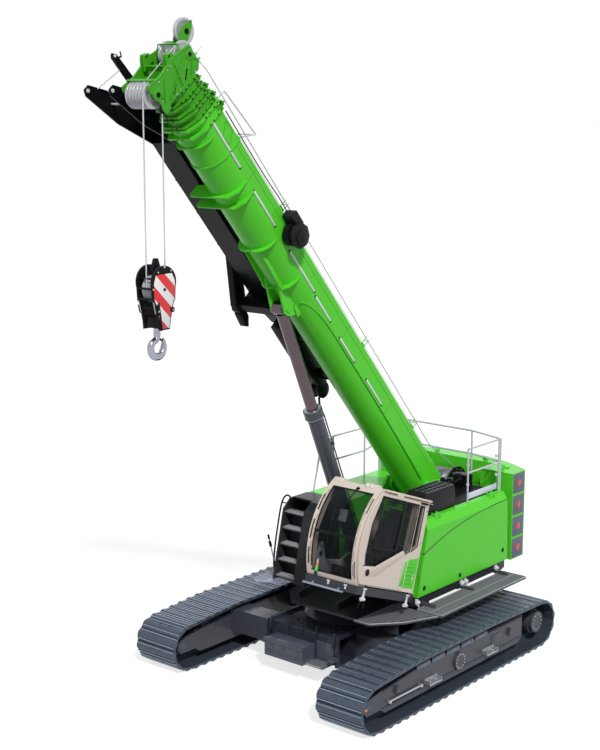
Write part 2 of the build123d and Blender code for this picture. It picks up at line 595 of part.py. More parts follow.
def counterweight():
    """Four cast slabs behind the frame, round at the back and notched for the winches."""
    half = 1500.0
    notch = 800.0
    edges = Polyline((SLAB_SIDE_X, -half), (SLAB_FRONT_X, -half), (SLAB_FRONT_X, -notch),
                     (SLAB_SIDE_X - 40, -notch), (SLAB_SIDE_X - 40, notch), (SLAB_FRONT_X, notch),
                     (SLAB_FRONT_X, half), (SLAB_SIDE_X, half))
    back = ThreePointArc((SLAB_SIDE_X, half), (SLAB_REAR_X, 0), (SLAB_SIDE_X, -half))
    face = make_face(edges.edges() + back.edges())
    slabs = []
    for number in range(SLAB_COUNT):
        low = SLAB_LOW_Z + number * (SLAB_HEIGHT + 0.3)
        slab = plan_plate(face, (low, low + SLAB_HEIGHT))
        eye = ((SLAB_FRONT_X + SLAB_SIDE_X) / 2, low + SLAB_HEIGHT / 2)
        for y in (-half - 1, half - SLAB_EYE_DEPTH):
            slab -= cross_disc(eye, SLAB_EYE_R, (y, y + SLAB_EYE_DEPTH + 1))
        slabs.append(slab)
    return slabs


def walkways():
    """Folding walkway along the left side, and the step under the cab."""
    left = block((-2570, 90), (HOUSING_OUTER_Y + 60, 2000), (DECK_LOW_Z + 10, DECK_LOW_Z + 45))
    for x in (-2400, -1300, -150):
        left += block((x - 30, x + 30), (HOUSING_OUTER_Y - 14.7, 1700), (DECK_LOW_Z + 45, DECK_LOW_Z + 105))
    front = plan_plate([(100, 994.6), (100, 1950), (700, 1700), (1150, 1300), (1150, 980.3), (1100, 980.3)],
                       (DECK_LOW_Z + 5, DECK_LOW_Z + 35))
    return left, front


def rail_panel(path, middle_drop, foot, radius=17.0):
    """Flat rail: a top tube over posts at each of its points, and a lower tube."""
    panel = tube_run(path, radius)
    lower = [(x, y, z - middle_drop) for x, y, z in path]
    panel += tube_run(lower, radius)
    for x, y, z in path:
        panel += bar((x, y, foot), (x, y, z), radius)
    return panel


def handrails():
    """Tube rails round the deck behind the boom and along the right housing."""
    rail_y, rear_x, front_x = 1390, -2690, -1230
    left_y = HOUSING_OUTER_Y - BEVEL_IN - 25
    left_top, rear_top, right_top = 3590, 3650, 3490
    left = rail_panel([(-1640, left_y, left_top), (rear_x + 50, left_y, left_top)], 430,
                      HOUSING_TOP_Z + 0.3)
    right = rail_panel([(rear_x + 50, -rail_y, left_top), (-2180, -rail_y, right_top),
                        (front_x, -rail_y, right_top)], 450, HOUSING_TOP_Z - 90 + 0.3)
    right += tube_run([(front_x, -rail_y, right_top), (-830, -rail_y, 3200),
                       (-660, -rail_y, HOUSING_TOP_Z - 82)], 17)
    rear = rail_panel([(rear_x, left_y, left_top), (rear_x, 700, rear_top)], 430, HOUSING_TOP_Z + 0.3)
    rear += tube_run([(rear_x, 700, rear_top), (rear_x, -700, rear_top)], 17)
    rear += tube_run([(rear_x, 700, rear_top - 430), (rear_x, -700, rear_top - 430)], 17)
    rear += rail_panel([(rear_x, -700, rear_top), (rear_x, -rail_y, left_top)], 430,
                       HOUSING_TOP_Z - 90 + 0.3)
    return left, right, rear


def winch_drum(name):
    """Rope drum with two flanges and its shaft."""
    centre = WINCHES[name]
    drum = cross_disc(centre, WINCH_DRUM_R, (-WINCH_HALF, WINCH_HALF))
    for y in (-WINCH_HALF, WINCH_HALF - 20):
        drum += cross_disc(centre, WINCH_FLANGE_R, (y, y + 20))
    return drum + cross_disc(centre, 60, (-MAIN_PLATE_Y - MAIN_PLATE_T, MAIN_PLATE_Y + MAIN_PLATE_T))


save("upper_frame", upper_frame())
save("left_housing", left_housing())
save("left_cover", left_cover())
save("engine", engine())
save("intake_box", intake_box())
save("right_housing", right_housing())
save("step_tower", step_tower())
save("counterweight", *counterweight())
save("walkways", *walkways())
save("handrails", *handrails())
for name in WINCHES:
    save(f"{name}_drum", winch_drum(name))


# ------------------------------------------------------------------ cab
CAB_PLACE = Pos(CAB_HINGE[0], 0, CAB_HINGE[1]) * Rot(0, -PARK_CAB_TILT, 0)
CAB_LOW, CAB_TOP = 95.0, 1690.0


def cab_profile(inset):
    """Side view of the cab: bowed screen, flat roof and a rear edge that leans."""
    low, top = CAB_LOW + inset, CAB_TOP - inset
    front_low, front_top = (1780 - inset, low), (1640 - inset, top)
    lines = Polyline(front_top, (230 + inset, top), (160 + inset, low), front_low)
    bow = ThreePointArc(front_low, (1965 - inset, 860), front_top)
    return make_face(lines.edges() + bow.edges())


DOOR_Y = CAB_LEFT_Y + 14.0
DOOR_T = 35.0
DOOR_REAR, DOOR_FRONT = 560.0, 1700.0
WINDOW_LINE = [(600, 800), (1400, 320), (1700, 300), (1775, 600), (1775, 1100), (1640, 1560), (600, 1560)]


def cab_shell():
    """Cab walls and roof with the windows and the doorway cut through."""
    shell = side_plate(cab_profile(0), (CAB_RIGHT_Y, CAB_LEFT_Y))
    shell -= side_plate(cab_profile(CAB_WALL), (CAB_RIGHT_Y + CAB_WALL, CAB_LEFT_Y - CAB_WALL))
    y0, y1 = CAB_RIGHT_Y + 90, CAB_LEFT_Y - 90
    shell -= block((1500, 2100), (y0, y1), (CAB_LOW + 70, CAB_TOP - 110))
    shell -= block((100, 500), (y0, y1), (850, CAB_TOP - 130))
    shell -= block((750, 1400), (y0 + 40, y1 - 40), (CAB_TOP - 100, CAB_TOP + 10))
    shell -= side_plate([(330, 860), (1000, 400), (1690, 330), (1800, 860), (1620, 1560), (330, 1560)],
                        (CAB_RIGHT_Y - 10, CAB_RIGHT_Y + CAB_WALL + 10))
    shell -= side_plate([(640, CAB_LOW + 60), (1650, CAB_LOW + 60), (1800, 860), (1620, 1570), (640, 1570)],
                        (CAB_LEFT_Y - CAB_WALL - 10, CAB_LEFT_Y + 10))
    shell -= side_plate([(330, 900), (540, 760), (540, 1560), (350, 1560)],
                        (CAB_LEFT_Y - CAB_WALL - 10, CAB_LEFT_Y + 10))
    for z in (CAB_LOW + 25, CAB_TOP - 60):
        shell += block((200, 1560), (CAB_LEFT_Y - 1, DOOR_Y + DOOR_T + 5), (z, z + 8))
    slot = (CAB_TOP - CAB_LOW - 280) / PILLAR_SLOTS
    for y in (CAB_RIGHT_Y + 70, CAB_LEFT_Y - 70):
        for number in range(PILLAR_SLOTS):
            low = CAB_LOW + 140 + number * slot
            shell -= block((1500, 2100), (y - 11, y + 11), (low, low + slot - 55))
    return CAB_PLACE * shell


def cab_louvres():
    """Louvred service panel low on the rear of the cab's left side."""
    face = CAB_LEFT_Y + 0.3
    outline = [(195, 190), (545, 170), (545, 560), (430, 640), (235, 660)]
    panel = side_plate(outline, (face, face + 3))
    for z in range(240, 600, 70):
        panel += side_plate([(265, z), (505, z - 12), (505, z + 4), (265, z + 16)], (face + 2, face + 7.5))
    return CAB_PLACE * panel


def cab_glass():
    """Flat panes in the screen, roof, rear and side openings."""
    t = 8.0
    y0, y1 = CAB_RIGHT_Y + 90.3, CAB_LEFT_Y - 90.3
    screen = side_plate(cab_profile(20), (y0, y1)) - side_plate(cab_profile(20 + t), (y0 - 1, y1 + 1))
    screen = screen & block((1500, 2100), (y0, y1), (CAB_LOW + 70.3, CAB_TOP - 110.3))
    rear = side_plate(cab_profile(20), (y0, y1)) - side_plate(cab_profile(20 + t), (y0 - 1, y1 + 1))
    rear = rear & block((100, 500), (y0, y1), (850.3, CAB_TOP - 130.3))
    roof = block((750.3, 1399.7), (y0 + 40, y1 - 40), (CAB_TOP - 40, CAB_TOP - 40 + t))
    right = side_plate([(330.4, 860.3), (1000, 400.4), (1689, 330.4), (1799, 860), (1619, 1559.7),
                        (330.4, 1559.7)], (CAB_RIGHT_Y + 20, CAB_RIGHT_Y + 20 + t))
    right = right & side_plate(cab_profile(5), (CAB_RIGHT_Y, CAB_LEFT_Y))
    side = side_plate([(330.4, 900.4), (539.7, 760.6), (539.7, 1559.7), (350.4, 1559.7)],
                      (CAB_LEFT_Y - 30, CAB_LEFT_Y - 30 + t))
    return [CAB_PLACE * pane for pane in (screen, rear, roof, right, side)]


def cab_door():
    """Sliding door panel with its window opening."""
    door = side_plate(cab_profile(15), (DOOR_Y, DOOR_Y + DOOR_T))
    door = door & block((DOOR_REAR, 2100), (DOOR_Y, DOOR_Y + DOOR_T), (CAB_LOW + 40, CAB_TOP - 65))
    door -= side_plate(WINDOW_LINE, (DOOR_Y - 1, DOOR_Y + DOOR_T + 1))
    for x in (DOOR_REAR + 60, DOOR_FRONT - 170):
        door += block((x, x + 90), (DOOR_Y + 8, DOOR_Y + DOOR_T - 8), (CAB_TOP - 70, CAB_TOP - 60 - RUN))
    return CAB_PLACE * door


def door_glass():
    pane = offset(make_face(Polyline(*WINDOW_LINE, close=True)), -0.4)
    return CAB_PLACE * side_plate(pane, (DOOR_Y + 12, DOOR_Y + 20))


def cab_base():
    """Dark tray under the cab, with its hinge barrel at the rear and the tilt cylinder's lugs."""
    base = block((170, 1800), (CAB_RIGHT_Y, CAB_LEFT_Y + 30), (-40, CAB_LOW - 0.3))
    base -= block((230, 1740), (CAB_RIGHT_Y + 60, CAB_LEFT_Y - 60), (-41, 65))
    low, high = CAB_LUGS_Y[0] + LUG_T + CLEAR, CAB_LUGS_Y[1] - CLEAR
    base += block((0, 240), (low, high), (-35, 60)) + cross_disc((0, 0), 62, (low, high))
    base -= cross_disc((0, 0), CAB_PIN_R + RUN, (low - 1, high + 1))
    eu, ew = TILT_EYE
    for y in (TILT_Y - TILT_HALF - 20.5, TILT_Y + TILT_HALF + 0.5):
        base += side_plate([(eu - 70, 66), (eu - 30, ew - 30), (eu + 30, ew - 30), (eu + 70, 66)], (y, y + 20))
    return CAB_PLACE * base


def tilt_axis():
    """Length and place of the tilt cylinder, from its foot to its eye."""
    angle = math.radians(PARK_CAB_TILT)
    eye = (CAB_HINGE[0] + TILT_EYE[0] * math.cos(angle) - TILT_EYE[1] * math.sin(angle),
           CAB_HINGE[1] + TILT_EYE[0] * math.sin(angle) + TILT_EYE[1] * math.cos(angle))
    slope = math.degrees(math.atan2(eye[1] - TILT_FOOT[1], eye[0] - TILT_FOOT[0]))
    return math.dist(eye, TILT_FOOT), Pos(TILT_FOOT[0], TILT_Y, TILT_FOOT[1]) * Rot(0, -slope, 0)


def tilt_cylinder():
    """Barrel and rod that tip the cab back; each eye is a plain boss."""
    length, place = tilt_axis()
    half = TILT_HALF
    barrel = along(TILT_R, 25, 350) + cross_disc((0, 0), 34, (-half, half))
    barrel -= cross_disc((0, 0), TILT_PIN_R + RUN, (-half - 1, half + 1)) + along(TILT_ROD_R + RUN, 180, 351)
    rod = along(TILT_ROD_R, 300, length - 20) + cross_disc((length, 0), 32, (-half, half))
    return place * barrel, place * rod


def seat():
    """Operator's seat: cushion, back and head rest."""
    y0, y1 = 760, 1230
    pieces = [block((600, 1120), (y0, y1), (520, 640)),
              side_plate([(480, 640.3), (620, 640.3), (520, 1230), (400, 1230)], (y0 + 10, y1 - 10)),
              side_plate([(400, 1230.3), (500, 1230.3), (480, 1420), (400, 1420)], (y0 + 110, y1 - 110))]
    return [CAB_PLACE * piece for piece in pieces]


def cab_console():
    """Seat base, two arm consoles with their control levers, and the pedal plate."""
    floor = CAB_LOW + CAB_WALL
    stand = block((560, 1080), (800, 1190), (floor + 0.3, 519.7))
    arms = []
    for y in (620, 1250):
        arm = block((560, 1150), (y, y + 90), (560, 740))
        arm += block((560, 700), (y, y + 90), (floor + 0.3, 560))
        arm += Pos(1080, y + 45, 830) * Cylinder(18, 200) + Pos(1080, y + 45, 930) * Sphere(32)
        arms.append(arm)
    pedals = side_plate([(1500, floor + 0.3), (1640, floor + 0.3), (1700, 330), (1680, 340)], (850, 1100))
    return [CAB_PLACE * piece for piece in (stand, *arms, pedals)]


save("cab_base", cab_base())
for name, shape in zip(("tilt_barrel", "tilt_rod"), tilt_cylinder()):
    save(name, shape)
save("cab_shell", cab_shell())
save("cab_louvres", cab_louvres())
save("cab_glass", *cab_glass())
save("cab_door", cab_door())
save("door_glass", door_glass())
save("seat", *seat())
save("cab_console", *cab_console())


# ------------------------------------------------------------------ boom
BOOM_PLACE = Pos(PIVOT[0], 0, PIVOT[1]) * Rot(0, -PARK_LUFF, 0)


def boom_outline(step):
    """Cross-section in (y, w): flat top, straight sides and a round bottom, smaller by a step."""
    half = BOOM_WIDTH / 2 - step
    top = BOOM_LOW_W + BOOM_DEPTH - step
    low = BOOM_LOW_W + step
    spring = BOOM_LOW_W + BOOM_WIDTH / 2 - 60
    corner = max(60 - step * 0.5, 20)
    lines = Polyline((half, spring), (half, top - corner), (half - corner, top), (corner - half, top),
                     (-half, top - corner), (-half, spring))
    belly = ThreePointArc((-half, spring), (0, low), (half, spring))
    return make_face(lines.edges() + belly.edges())


def boom_tube(step, wall, u):
    """Straight length of boom tube."""
    return end_plate(boom_outline(step), u) - end_plate(boom_outline(step + wall), (u[0] - 1, u[1] + 1))


def collar(step, wall, u):
    """Stiffening frame round a tube: chamfered at the top corners, flat at the foot."""
    half = BOOM_WIDTH / 2 - step + COLLAR_REACH
    top = BOOM_LOW_W + BOOM_DEPTH - step + COLLAR_REACH
    low = BOOM_LOW_W + step - COLLAR_REACH
    outline = [(half, low + 210), (half, top - 60), (half - 60, top), (60 - half, top),
               (-half, top - 60), (-half, low + 210), (130 - half, low), (half - 130, low)]
    return end_plate(outline, u) - end_plate(boom_outline(step + wall), (u[0] - 1, u[1] + 1))


def boom_base():
    """Base section: tube, foot, front collar, saddle flanges and the lift rod's ears."""
    tube = boom_tube(0, BOOM_WALL, (BASE_REAR_U, BASE_FRONT_U))
    for back, depth in ((180, 40), (40, 40)):
        tube += collar(0, BOOM_WALL, (BASE_FRONT_U - back, BASE_FRONT_U - back + depth))
    tube += boom_tube(-16, 16 + BOOM_WALL, (BASE_FRONT_U - 760, BASE_FRONT_U - 735))
    for y in (-MAIN_PLATE_Y + 7, BOOM_WIDTH / 2 - 1):
        tube += cross_disc((0, 0), 150, (y, y + MAIN_PLATE_Y - 7 - BOOM_WIDTH / 2 + 1))
    for y in (-MAIN_PLATE_Y - MAIN_PLATE_T - 15, BOOM_WIDTH / 2 - 1):
        tube += cross_disc((0, 0), 75 - RUN, (y, y + MAIN_PLATE_Y + MAIN_PLATE_T + 16 - BOOM_WIDTH / 2))
    half, shelf = BOOM_WIDTH / 2 + COLLAR_REACH, JIB_Y[1] - 60
    saddle = make_face(Polyline((half, 150), (half, -110), (half - 130, -250), (shelf + 40, -250),
                                (shelf, -210), (shelf, JIB_LOW_W - 0.3), (shelf + 140, JIB_LOW_W - 0.3),
                                (-half, 120), (-half, 150), close=True))
    for u in (BASE_FRONT_U - 1530, BASE_FRONT_U - 1310):
        tube += end_plate(saddle, (u, u + 25)) - end_plate(boom_outline(1), (u - 1, u + 26))
    eu, ew = ROD_EYE
    for y in (-EYE_HALF - 5 - EAR_T, EYE_HALF + 5):
        ear = side_plate([(eu - 330, BOOM_LOW_W + 90), (eu - 100, ew - 60), (eu, ew - 100),
                          (eu + 100, ew - 50), (eu + 700, BOOM_LOW_W + 90)], (y, y + EAR_T))
        tube += ear - end_plate(boom_outline(1), (eu - 500, eu + 800))
    pin_y = EYE_HALF + 5 + EAR_T + 20
    tube += cross_disc(ROD_EYE, 50, (-pin_y, pin_y))
    return BOOM_PLACE * tube


def boom_section(number):
    """Sliding section with its rear slide pads and its front collar."""
    step = number * SECTION_STEP
    front = BASE_FRONT_U + 20 + (number - 1) * SECTION_FRONT_STEP
    rear = 150 + number * 120
    tube = boom_tube(step, 9, (rear, front + SECTION_COLLAR))
    outer_wall = BOOM_WALL if number == 1 else 9
    pad = (number - 1) * SECTION_STEP + outer_wall + RUN
    tube += boom_tube(pad, step + 9 - pad, (rear, rear + 200))
    tube += boom_tube(pad, step + 9 - pad, (front - 340, front - 240))
    for u in (front, front + SECTION_COLLAR - 30):
        tube += collar(step, 9, (u, u + 30))
    return BOOM_PLACE * tube


def boom_point(u, w):
    """Frame (x, z) of a boom point."""
    angle = math.radians(PARK_LUFF)
    return (PIVOT[0] + u * math.cos(angle) - w * math.sin(angle),
            PIVOT[1] + u * math.sin(angle) + w * math.cos(angle))


FALL_REACH = SHEAVE_R - SHEAVE_GROOVE + ROPE_R + RUN        # rope centre line round a sheave
FALL_Y = (LOWER_COUNT - 1) / 2 * LOWER_PITCH
LOWER_AT = boom_point(*HEAD_LOWER)
SOCKET_Z = (LOWER_AT[1] - 260, LOWER_AT[1] - 150)           # dead end of the rope


def boom_head():
    """Head welded to the last section: two cheeks, cross plates, pins, rope anchor and forks."""
    start = BASE_FRONT_U + 20 + 2 * SECTION_FRONT_STEP + SECTION_COLLAR + 0.3
    lower, upper = HEAD_LOWER, HEAD_UPPER
    cheek = [(start, -250), (start, 520), (start + 70, 600), (upper[0] + 100, 605), (upper[0] + 180, 260),
             (upper[0] + 150, -150), (lower[0] + 205, lower[1] - 60), (lower[0] + 140, lower[1] - 90),
             (start + 120, lower[1] - 30)]
    head = end_plate(boom_outline(3 * SECTION_STEP - 20), (start, start + 40))
    outer = CHEEK_Y + CHEEK_T
    for y in (-outer, CHEEK_Y):
        head += side_plate(cheek, (y, y + CHEEK_T))
    head += block((start, start + 60), (-CHEEK_Y - 1, CHEEK_Y + 1), (430, 460))
    head += block((start, start + 160), (-CHEEK_Y - 1, CHEEK_Y + 1), (60, 90))
    head += block((upper[0] + 60, upper[0] + 150), (-CHEEK_Y - 1, CHEEK_Y + 1), (80, 110))
    head += cross_disc(lower, 50, (-outer - 15, outer + 15)) + cross_disc(upper, 45, (-outer - 15, outer + 15))
    lozenge = [(upper[0] - 30, 480), (upper[0] + 30, 480), (RUNNER[0] + 48, 705), (RUNNER[0] + 100, 835),
               (RUNNER[0] + 50, 1047), (RUNNER[0] - 34, 971), (RUNNER[0] - 124, 752), (upper[0] - 50, 560)]
    for y in (-60, 45):
        head += side_plate(lozenge, (y, y + 15))
    head += cross_disc(RUNNER, 35, (-70, 70))
    fork = [(upper[0] + 100, 30), (upper[0] + 120, 300), (upper[0] + 250, 250), (upper[0] + 280, 170),
            (upper[0] + 230, 120)]
    for y in (-outer, -outer + 60, outer - CHEEK_T, outer - 90):
        head += side_plate(fork, (y, y + CHEEK_T)) - cross_disc((upper[0] + 225, 190), 25, (-400, 400))
    hanger = [(start + 5, -220), (start - 50, -270), (start - 50, -370), (start + 40, -385), (start + 150, -350)]
    head += side_plate(hanger, (CHEEK_Y, outer))
    return BOOM_PLACE * head


def sheave(centre, y, bore):
    """Grooved rope sheave on its pin."""
    wheel = cross_disc(centre, SHEAVE_R, (y - SHEAVE_HALF, y + SHEAVE_HALF))
    groove = cross_disc(centre, SHEAVE_R + 5, (y - 12, y + 12))
    groove -= cross_disc(centre, SHEAVE_R - SHEAVE_GROOVE, (y - 13, y + 13))
    return wheel - groove - cross_disc(centre, bore + RUN, (y - 60, y + 60))


def lower_sheaves():
    return [BOOM_PLACE * sheave(HEAD_LOWER, n * LOWER_PITCH - FALL_Y, 50) for n in range(LOWER_COUNT)]


def upper_sheaves():
    return [BOOM_PLACE * sheave(HEAD_UPPER, y, 45) for y in (-140, 140)]


def runner_sheave():
    return BOOM_PLACE * sheave(RUNNER, 0, 35)


def jib():
    """Folded jib on the boom's right: deep box beam that forks at its foot."""
    low, root = JIB_LOW_W, JIB_ROOT_U
    beam = side_plate([(4250, low + 60), (4250, low + 240), (root, low + 420), (root, low), (4600, low)],
                      JIB_Y)
    beam -= side_plate([(4500, low + 60), (4500, low + 200), (root - 50, low + 370), (root - 50, low + 40)],
                       (JIB_Y[0] + 20, JIB_Y[1] - 20))
    for y in (JIB_Y[0], JIB_Y[1] + 60):
        arm = side_plate([(root - 1, low), (root - 1, low + 420), (root + 1200, -170), (root + 1490, -390),
                          (root + 1490, -490), (root + 1400, -530), (root + 700, -330)], (y, y + 25))
        arm -= cross_disc((root + 1440, -455), 30, (y - 1, y + 26))
        beam += arm
    beam += block((root - 1, root + 30), (JIB_Y[0], JIB_Y[1] + 85), (low, low + 420))
    upper_arm = side_plate([(root - 1, low + 300), (root - 1, low + 420), (root + 1100, 120),
                            (root + 1650, 80), (root + 1710, 30), (root + 1660, -20), (root + 1100, 0)],
                           (-640, -600))
    beam += upper_arm - cross_disc((root + 1660, 30), 22, (-700, -500))
    for u in range(4750, int(root) - 300, 700):
        rib = side_plate([(u, low), (u + 30, low), (u + 30, low + 250 + (u - 4250) * 0.04), (u, low + 250)],
                         (JIB_Y[0] - 12, JIB_Y[0] + 1))
        beam += rib
    return BOOM_PLACE * beam


def jib_bracket():
    """Support under the boom that carries the folded jib: arm, pad and an upright post."""
    ear_face = -EYE_HALF - 5 - EAR_T - 0.3
    u0, u1 = 4900, 5060
    arm = block((u0, u1), (-1130, ear_face), (-300, -180))
    arm += block((u0, u1), (JIB_Y[0], JIB_Y[1] - 100), (-181, JIB_LOW_W - 0.3))
    arm += side_plate([(u0, -300), (u0 + 160, -340), (5870, 190), (5790, 280)], (-1130, -1010))
    return BOOM_PLACE * arm


def hose_reel():
    """Cable reel on the boom's left side."""
    reel = cross_disc((6200, 320), 190, (BOOM_WIDTH / 2 + 40, BOOM_WIDTH / 2 + 150))
    reel += cross_disc((6200, 320), 120, (BOOM_WIDTH / 2 + 0.3, BOOM_WIDTH / 2 + 200))
    return BOOM_PLACE * reel


save("boom_base", boom_base())
for number in (1, 2, 3):
    save(f"boom_section_{number}", boom_section(number))
save("boom_head", boom_head())
save("lower_sheaves", *lower_sheaves())
save("upper_sheaves", *upper_sheaves())
save("runner_sheave", runner_sheave())
save("jib", jib())
save("jib_bracket", jib_bracket())
save("hose_reel", hose_reel())


# ------------------------------------------------------------------ lift cylinder
EYE_AT = boom_point(*ROD_EYE)
CYLINDER_LENGTH = math.dist(EYE_AT, CYLINDER_FOOT)
CYLINDER_ANGLE = math.degrees(math.atan2(EYE_AT[1] - CYLINDER_FOOT[1], EYE_AT[0] - CYLINDER_FOOT[0]))
CYLINDER_PLACE = Pos(CYLINDER_FOOT[0], 0, CYLINDER_FOOT[1]) * Rot(0, -CYLINDER_ANGLE, 0)
BARREL_LENGTH = 3080.0


def lift_barrel():
    """Barrel with its foot eye and gland, bored for the rod."""
    barrel = along(BARREL_R, 100, BARREL_LENGTH) + along(165, BARREL_LENGTH - 130, BARREL_LENGTH)
    barrel += cross_disc((0, 0), 130, (-EYE_HALF - 40, EYE_HALF + 40))
    barrel -= along(ROD_R + CLEAR, 200, BARREL_LENGTH + 1)
    barrel += along(ROD_R + CLEAR + 1, BARREL_LENGTH - 60, BARREL_LENGTH) - along(
        ROD_R + RUN, BARREL_LENGTH - 61, BARREL_LENGTH + 1)
    return CYLINDER_PLACE * barrel


def lift_rod():
    """Polished rod with its eye at the boom and its piston end in the barrel."""
    end = CYLINDER_LENGTH
    rod = along(ROD_R, end - 3200, end - 90)
    rod += cross_disc((end, 0), ROD_EYE_R, (-EYE_HALF, EYE_HALF))
    return CYLINDER_PLACE * (rod - cross_disc((end, 0), 50 + RUN, (-200, 200)))


save("lift_barrel", lift_barrel())
save("lift_rod", lift_rod())


# ------------------------------------------------------------------ hook block
BLOCK_X, BLOCK_Y = LOWER_AT[0], FALL_Y
HOOK_DROP = 255.0           # from the block's foot down to the hook's centre
HOOK_SHANK_R, HOOK_TIP_R = 50.0, 20.0


def hook_block():
    """Two pear-shaped cheeks round the sheaves, with spacers, the top lug and the hook's crosshead."""
    x, y, pin = BLOCK_X, BLOCK_Y, BLOCK_PIN_Z
    crown = ThreePointArc((x + 225, pin + 20), (x, BLOCK_TOP_Z), (x - 225, pin + 20))
    lower = Polyline((x - 225, pin + 20), (x - 215, pin - 150), (x - 165, pin - 240), (x - 95, BLOCK_LOW_Z),
                     (x + 95, BLOCK_LOW_Z), (x + 165, pin - 240), (x + 215, pin - 150), (x + 225, pin + 20))
    cheek = make_face(crown.edges() + lower.edges())
    inner = BLOCK_HALF_Y - 35
    body = side_plate(cheek, (y - BLOCK_HALF_Y, y - inner)) + side_plate(cheek, (y + inner, y + BLOCK_HALF_Y))
    body += block((x - 85, x + 85), (y - inner - 1, y + inner + 1), (BLOCK_LOW_Z + 20, BLOCK_LOW_Z + 160))
    body -= upright_disc((x, y), 50 + RUN, (BLOCK_LOW_Z, BLOCK_LOW_Z + 100))
    body += cross_disc((x, pin), 45, (y - inner - 1, y + inner + 1))
    for dx, z in ((0, BLOCK_TOP_Z - 55), (-205, pin - 130), (205, pin - 130)):
        body += cross_disc((x + dx, z), 18, (y - inner - 1, y + inner + 1))
    lug = [(x - 85, BLOCK_TOP_Z - 80), (x - 25, BLOCK_TOP_Z + 95), (x + 25, BLOCK_TOP_Z + 95),
           (x + 85, BLOCK_TOP_Z - 80)]
    return body + side_plate(lug, (y - 30, y + 30))


def block_sheaves():
    return [sheave((BLOCK_X, BLOCK_PIN_Z), BLOCK_Y + y, 45) for y in (-66, 0, 66)]


def rope_falls():
    """Two falls of hoist rope: one off the head's sheave, the other from its dead end."""
    tops = ((BLOCK_X + FALL_REACH, LOWER_AT[1]), (BLOCK_X - FALL_REACH, SOCKET_Z[0] - 0.3))
    return [upright_disc((x, BLOCK_Y), ROPE_R, (BLOCK_PIN_Z, top)) for x, top in tops]


def rope_socket():
    """Wedge socket on the dead end, held against the hanger of the boom head."""
    x = BLOCK_X - FALL_REACH
    socket = side_plate([(x - 18, SOCKET_Z[0]), (x + 18, SOCKET_Z[0]), (x + 32, SOCKET_Z[1] - 30),
                         (x + 20, SOCKET_Z[1]), (x - 20, SOCKET_Z[1]), (x - 32, SOCKET_Z[1] - 30)],
                        (BLOCK_Y - 22, BLOCK_Y + 22))
    return socket + cross_disc((x, SOCKET_Z[1] - 30), 16, (BLOCK_Y + 21, CHEEK_Y - 0.3))


def hook():
    """Forged single hook, open to the rear, lofted along its bend, with its shank in the block."""
    neck = HOOK_DROP - 110
    bend = [(0, neck + 60, 50), (0, neck, 50), (30, 95, 50), (95, 58, 52), (128, -30, 54), (90, -118, 58),
            (0, -150, 60), (-88, -116, 56), (-128, -30, 48), (-130, 40, 36), (-122, 92, HOOK_TIP_R)]
    sections = []
    for before, here, after in zip(bend[:1] + bend, bend, bend[1:] + bend[-1:]):
        along_bend = (after[0] - before[0], 0, after[1] - before[1])
        place = Plane((here[0], 0, here[1]), x_dir=(0, 1, 0), z_dir=along_bend)
        sections.append(place * Circle(here[2]))
    tip = Pos(bend[-1][0], 0, bend[-1][1]) * Sphere(HOOK_TIP_R)
    shank = upright_disc((0, 0), HOOK_SHANK_R, (neck, HOOK_DROP + 99))
    return Pos(BLOCK_X, BLOCK_Y, BLOCK_LOW_Z - HOOK_DROP) * (loft(sections) + tip + shank)


save("hook_block", hook_block())
save("block_sheaves", *block_sheaves())
for name, shape in zip(("front_fall", "rear_fall"), rope_falls()):
    save(name, shape)
save("rope_socket", rope_socket())
save("hook", hook())
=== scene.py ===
"""Crawler crane: the looks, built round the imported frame."""
import json
import math

import bmesh
import bpy
from mathutils import Matrix, Vector


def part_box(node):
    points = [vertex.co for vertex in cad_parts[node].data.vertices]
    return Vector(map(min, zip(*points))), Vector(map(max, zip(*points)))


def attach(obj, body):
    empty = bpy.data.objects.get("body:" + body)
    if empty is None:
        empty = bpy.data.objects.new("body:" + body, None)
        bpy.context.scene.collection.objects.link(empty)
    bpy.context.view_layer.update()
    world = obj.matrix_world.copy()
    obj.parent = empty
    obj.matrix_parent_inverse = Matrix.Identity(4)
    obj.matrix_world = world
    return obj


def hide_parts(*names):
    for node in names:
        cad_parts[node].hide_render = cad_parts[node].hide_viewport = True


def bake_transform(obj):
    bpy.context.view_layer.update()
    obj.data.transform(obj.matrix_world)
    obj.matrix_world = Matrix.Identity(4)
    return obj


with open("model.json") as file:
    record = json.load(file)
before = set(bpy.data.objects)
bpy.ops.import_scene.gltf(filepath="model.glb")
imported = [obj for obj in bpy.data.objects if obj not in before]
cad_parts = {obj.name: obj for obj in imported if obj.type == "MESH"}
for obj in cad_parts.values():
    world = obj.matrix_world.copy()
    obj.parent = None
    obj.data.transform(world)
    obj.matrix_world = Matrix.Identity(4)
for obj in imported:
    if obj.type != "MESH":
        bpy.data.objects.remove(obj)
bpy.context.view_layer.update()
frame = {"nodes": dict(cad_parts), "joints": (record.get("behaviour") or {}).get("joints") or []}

# ---------------------------------------------------------------- studio
# A pale floor under a soft white sky, with one broad sun from the crane's front left and a weak
# fill from behind. Seen by the camera, floor and sky are plain white.
scene = bpy.context.scene
scene.view_settings.view_transform = "Standard"


def node(tree, kind, inputs=(), **settings):
    """New node with its settings. Each input takes a value, or a link when a socket is given."""
    made = tree.nodes.new(kind)
    for name, value in settings.items():
        setattr(made, name, value)
    for name, value in dict(inputs).items():
        if isinstance(value, bpy.types.NodeSocket):
            tree.links.new(value, made.inputs[name])
        else:
            made.inputs[name].default_value = value
    return made


def maths(tree, operation, first, second=0.0):
    """Socket with the result of one operation on two values or sockets."""
    return node(tree, "ShaderNodeMath", {0: first, 1: second}, operation=operation).outputs[0]


def cleared(holder):
    """A material's or world's node tree, emptied."""
    holder.use_nodes = True
    holder.node_tree.nodes.clear()
    return holder.node_tree


